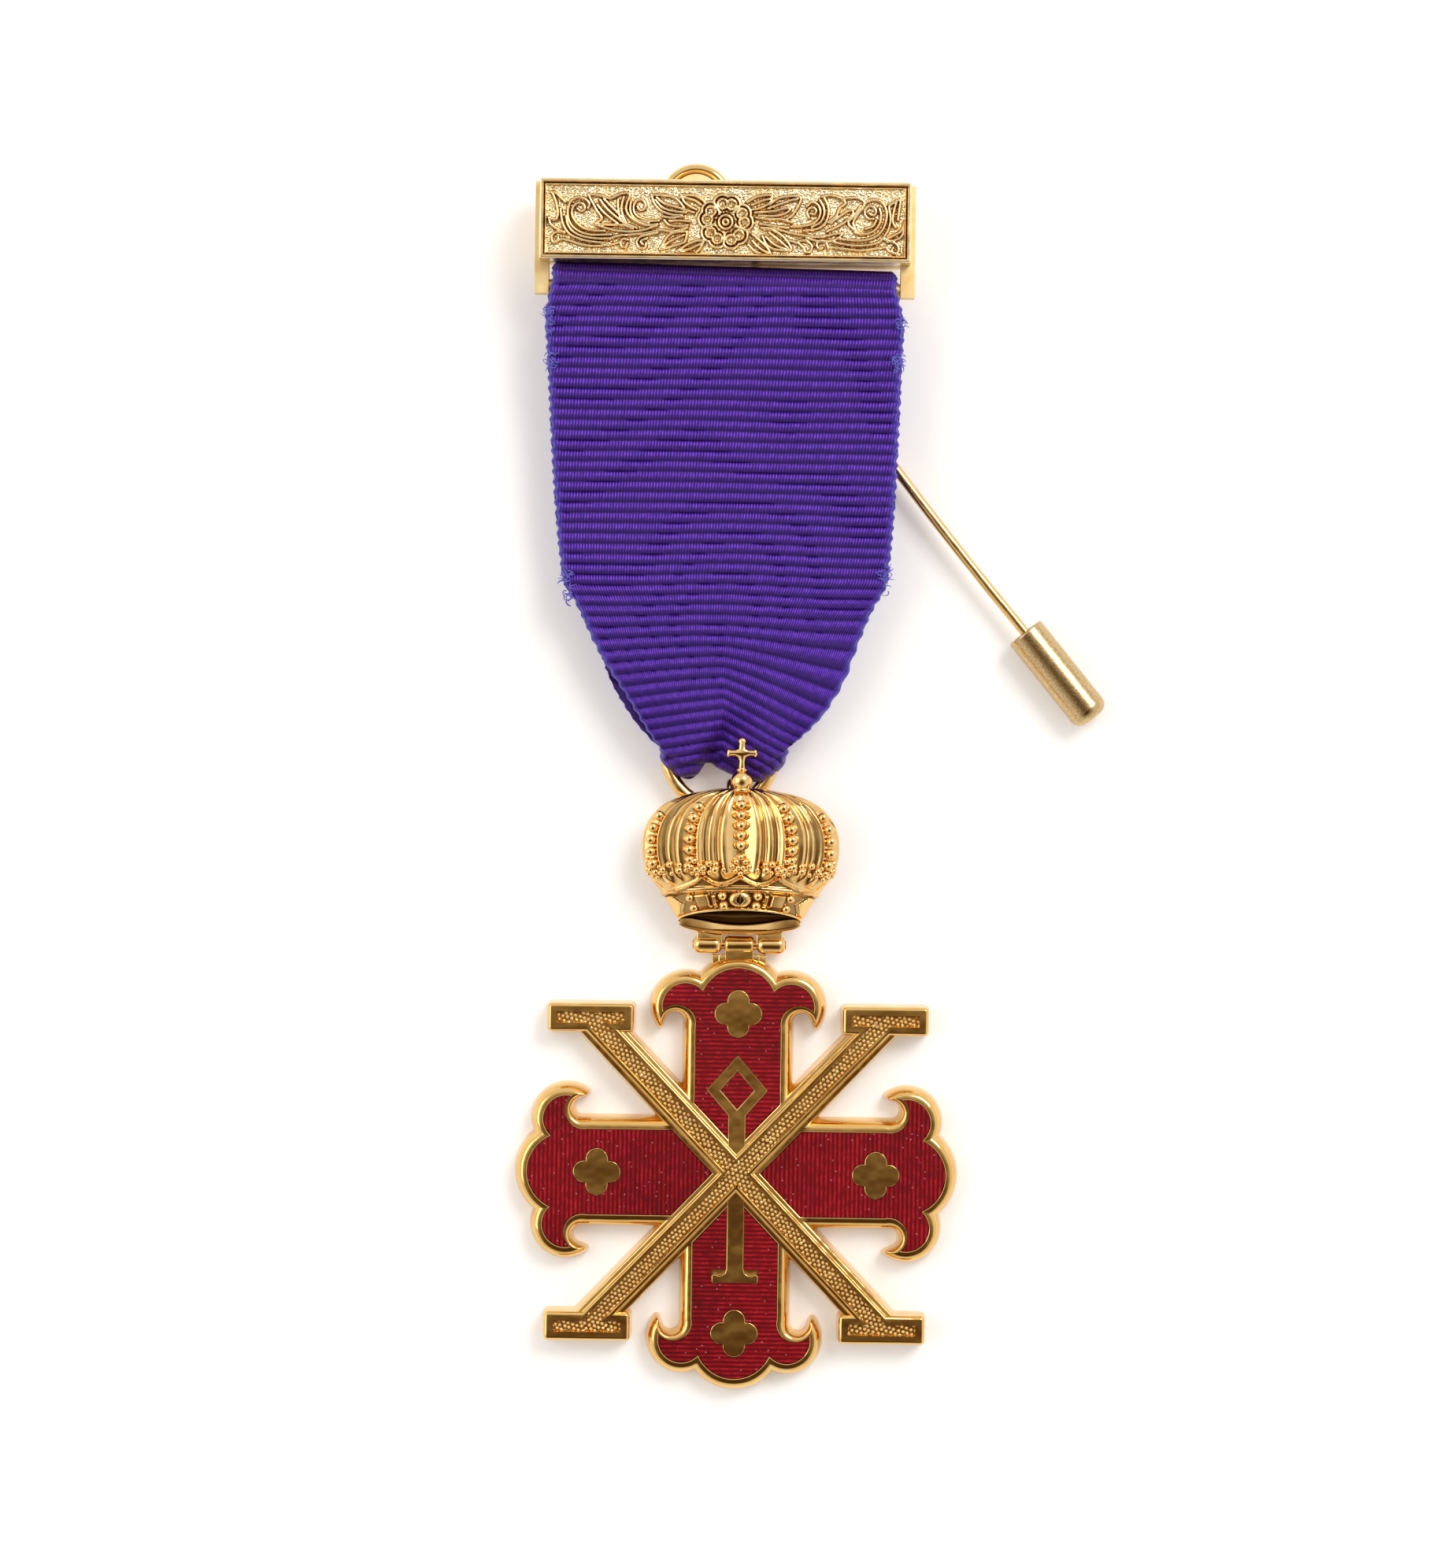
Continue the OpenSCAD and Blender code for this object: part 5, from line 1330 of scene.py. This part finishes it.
def panelRelief(x, y):
    c = panel
    w, h = c["size"]
    rng = np.random.default_rng(c["seed"])
    ground = c["grain"] * np.clip(rng.normal(0, 1, x.shape), -1.6, 1.6)
    height = c["ground"] + ground
    near = np.full(x.shape, far)
    for half in ("left", "right"):
        for line in c[half]:
            at = (np.array(line, dtype=float) - c["zero"][half]) * (c["unit"], -c["unit"])
            at[:, 1] += c["slope"] * at[:, 0]
            near = np.minimum(near, strokeDistance(x, y, at, c["reach"]))
    fx, fy = c["flowerAt"]
    around = np.hypot(x - fx, y - fy)
    angle = np.arctan2(y - fy, x - fx)
    beyondHeart = around > c["heartR"]
    flower = np.full(x.shape, far)
    # each petal is two lobes side by side, outlined twice and fluted within
    petals = []
    for turn in c["petals"]:
        lobes = [np.radians(turn + s * c["lobeTurn"]) for s in (-1, 1)]
        petals.append(np.minimum(*[np.hypot(x - fx - c["petalAt"] * math.cos(a),
                                            y - fy - c["petalAt"] * math.sin(a)) for a in lobes]))
    out = np.min(petals, axis=0)
    for r in c["petalR"]:
        flower = np.minimum(flower, np.where(beyondHeart, np.abs(out - r), far))
    between = np.sort(petals, axis=0)
    seam = np.where((out < c["petalR"][0]) & beyondHeart, (between[1] - between[0]) / 2, far)
    flower = np.minimum(flower, seam)
    spokes = np.cos(c["flutes"] * angle)
    height = np.maximum(height, c["ground"] + 0.1 + 0.05 * spokes - 0.3 * (out > c["petalR"][1]))
    for r in c["rosette"]:
        flower = np.minimum(flower, np.abs(around - r))
    ringR, beadR, count = c["beads"]
    beads = np.hypot(around - ringR, beadR * np.sin(count * angle))
    flower = np.minimum(flower, beads + 0.03)
    near = np.where(around < c["flowerR"], np.maximum(near, 2.5 - around), near)
    near = np.minimum(near, flower)
    # a stroke is a rounded wire on a broad low foot
    crest = c["relief"] * np.sqrt(np.clip(1 - (near / (2.0 * c["wire"])) ** 2, 0, 1))
    foot = 0.1 * (1 - rounded(near, 0.1, 0.32))
    onGround = (near < c["reach"]) & (height < c["ground"] + 0.12)
    height = np.where(onGround, c["ground"] + foot + ground * (near > 0.12) + crest,
                      np.maximum(height, c["ground"] + crest))
    # painted shade round the foot of each stroke, where it meets the ground
    paintedShade = 0.9 * rounded(near, 0.08, 0.12) * (1 - rounded(near, 0.15, 0.25))
    # rims: a flat one outside, a groove, and a thin ridge within
    inside = np.minimum(w / 2 - np.abs(x), h / 2 - np.abs(y))
    height = np.where(inside < c["inner"][0] + 0.14, c["ground"] - 0.04, height)
    mid, half = c["inner"]
    ridge = c["ground"] + 0.36 * np.sqrt(np.clip(1 - ((inside - mid) / half) ** 2, 0, 1))
    height = np.maximum(height, ridge)
    flat = c["top"] - 0.34 * rounded(inside, c["rim"], c["rim"] + 0.07)
    flat -= 0.12 * (1 - rounded(inside, 0, c["rimEdge"]))
    high = np.where(inside < c["rim"] + 0.07, np.maximum(flat, c["ground"] - 0.04), height)
    # painted shade in the groove inside the flat rim
    groove = 0.7 * np.exp(-((inside - c["rim"] - 0.09) / 0.035) ** 2)
    return high, np.where(inside < mid + 0.14, groove, paintedShade)


def makePanel():
    c = panel
    w, h = c["size"]
    xs = np.linspace(-w / 2, w / 2, int(w / c["step"]))
    ys = np.linspace(-h / 2, h / 2, int(h / c["step"]))
    x, y = np.meshgrid(xs, ys, indexing="ij")
    z, paintedShade = panelRelief(x, y)
    item = addPiece("stamped_panel", *slabOver(x, y, z, c["low"], c["centre"]), giltStamped,
                    "mounting", sharp=60)
    addValues(item, "hollow", np.append(paintedShade, np.zeros(len(item.data.vertices) - paintedShade.size)))
    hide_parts("bar_panel")
    print("panel made", len(item.data.polygons))


makePanel()


# Enamel: gloss over ruled metal, in the five nodes of the CAD

ruledPitch = 0.39 * mm


def makeEnamel(name, axis):
    # translucent crimson: light ruled lines show through, sparkling where cut
    material, tree, shader = newMaterial(name)
    place = addNode(tree, "ShaderNodeTexCoord").outputs["Object"]
    ruled = addNode(tree, "ShaderNodeTexWave",
                    {"wave_type": "BANDS", "bands_direction": axis, "wave_profile": "SIN"},
                    {"Scale": 2 * math.pi / 20 / ruledPitch, "Distortion": 0.8, "Detail": 1.0,
                     "Detail Scale": 2.0}, {"Vector": place})
    grain = addNode(tree, "ShaderNodeTexNoise", values={"Scale": 1500.0, "Detail": 3.0},
                    links={"Vector": place})
    cloud = addNode(tree, "ShaderNodeTexNoise", values={"Scale": 160.0, "Detail": 2.0},
                    links={"Vector": place})
    # the ruled lines' own pattern, painted lighter in fine spots as painted glints off the metal
    # under the glass
    glints = addNode(tree, "ShaderNodeMath", {"operation": "MULTIPLY"},
                    links={0: ruled.outputs["Fac"], 1: grain.outputs["Fac"]})
    level = addNode(tree, "ShaderNodeMath", {"operation": "MULTIPLY_ADD"}, {1: 0.35},
                    {0: cloud.outputs["Fac"], 2: glints.outputs[0]})
    ramp = addNode(tree, "ShaderNodeValToRGB", links={"Fac": level.outputs[0]})
    setRamp(ramp, [(0.1, "#4C020A"), (0.38, "#6C0410"), (0.62, "#8E0816"), (0.9, "#B81C2C")])
    # fine pale specks in the glass
    cells = addNode(tree, "ShaderNodeTexVoronoi", values={"Scale": 1500.0},
                    links={"Vector": place})
    speck = addNode(tree, "ShaderNodeMapRange", links={"Value": cells.outputs["Distance"]},
                    values={"From Min": 0.13, "From Max": 0.07, "To Min": 0.0, "To Max": 0.55})
    speckled = addNode(tree, "ShaderNodeMix", {"data_type": "RGBA"}, {"B": linear("#C88890")},
                       {"Factor": speck.outputs["Result"], "A": ramp.outputs["Color"]})
    tree.links.new(speckled.outputs["Result"], shader.inputs["Base Color"])
    bump = addNode(tree, "ShaderNodeBump", values={"Strength": 0.25, "Distance": 0.0002},
                   links={"Height": cloud.outputs["Fac"]})
    tree.links.new(bump.outputs["Normal"], shader.inputs["Coat Normal"])
    setShader(shader, {"Roughness": 0.4, "Specular IOR Level": 0.15, "Coat Weight": 0.8,
                       "Coat Roughness": 0.03, "Coat IOR": 1.36})
    return material


def dress(nodes, material):
    for name in nodes:
        item = bpy.data.objects[name]
        item.data.materials.clear()
        item.data.materials.append(material)


dress(["enamel_top", "enamel_bottom", "enamel_lozenge"], makeEnamel("crimsonRuledAcross", "Y"))
dress(["enamel_left", "enamel_right"], makeEnamel("crimsonRuledUpright", "X"))
print("enamel made")


# Fittings in the nodes of the CAD

def makeWornBrass():
    # champagne brass rubbed dull, with fine scratches along and across
    material, tree, shader = newMaterial("wornBrass")
    place = addNode(tree, "ShaderNodeTexCoord").outputs["Object"]
    scratch = addNode(tree, "ShaderNodeTexNoise", values={"Scale": 5200.0, "Detail": 4.0},
                      links={"Vector": place})
    ramp = addNode(tree, "ShaderNodeValToRGB", links={"Fac": scratch.outputs["Fac"]})
    setRamp(ramp, [(0.3, "#B89868"), (0.55, "#CDB080"), (0.8, "#DCC498")])
    tree.links.new(ramp.outputs["Color"], shader.inputs["Base Color"])
    bump = addNode(tree, "ShaderNodeBump", values={"Strength": 0.3, "Distance": 0.00004},
                   links={"Height": scratch.outputs["Fac"]})
    tree.links.new(bump.outputs["Normal"], shader.inputs["Normal"])
    setShader(shader, {"Metallic": 1.0, "Roughness": 0.22})
    return material


dress(["jump_ring", "pin_wire", "hinge_pin"], giltWire)
dress(["bar_back"], giltSatin)
dress(["pin_cap"], makeWornBrass())
print("fittings made")
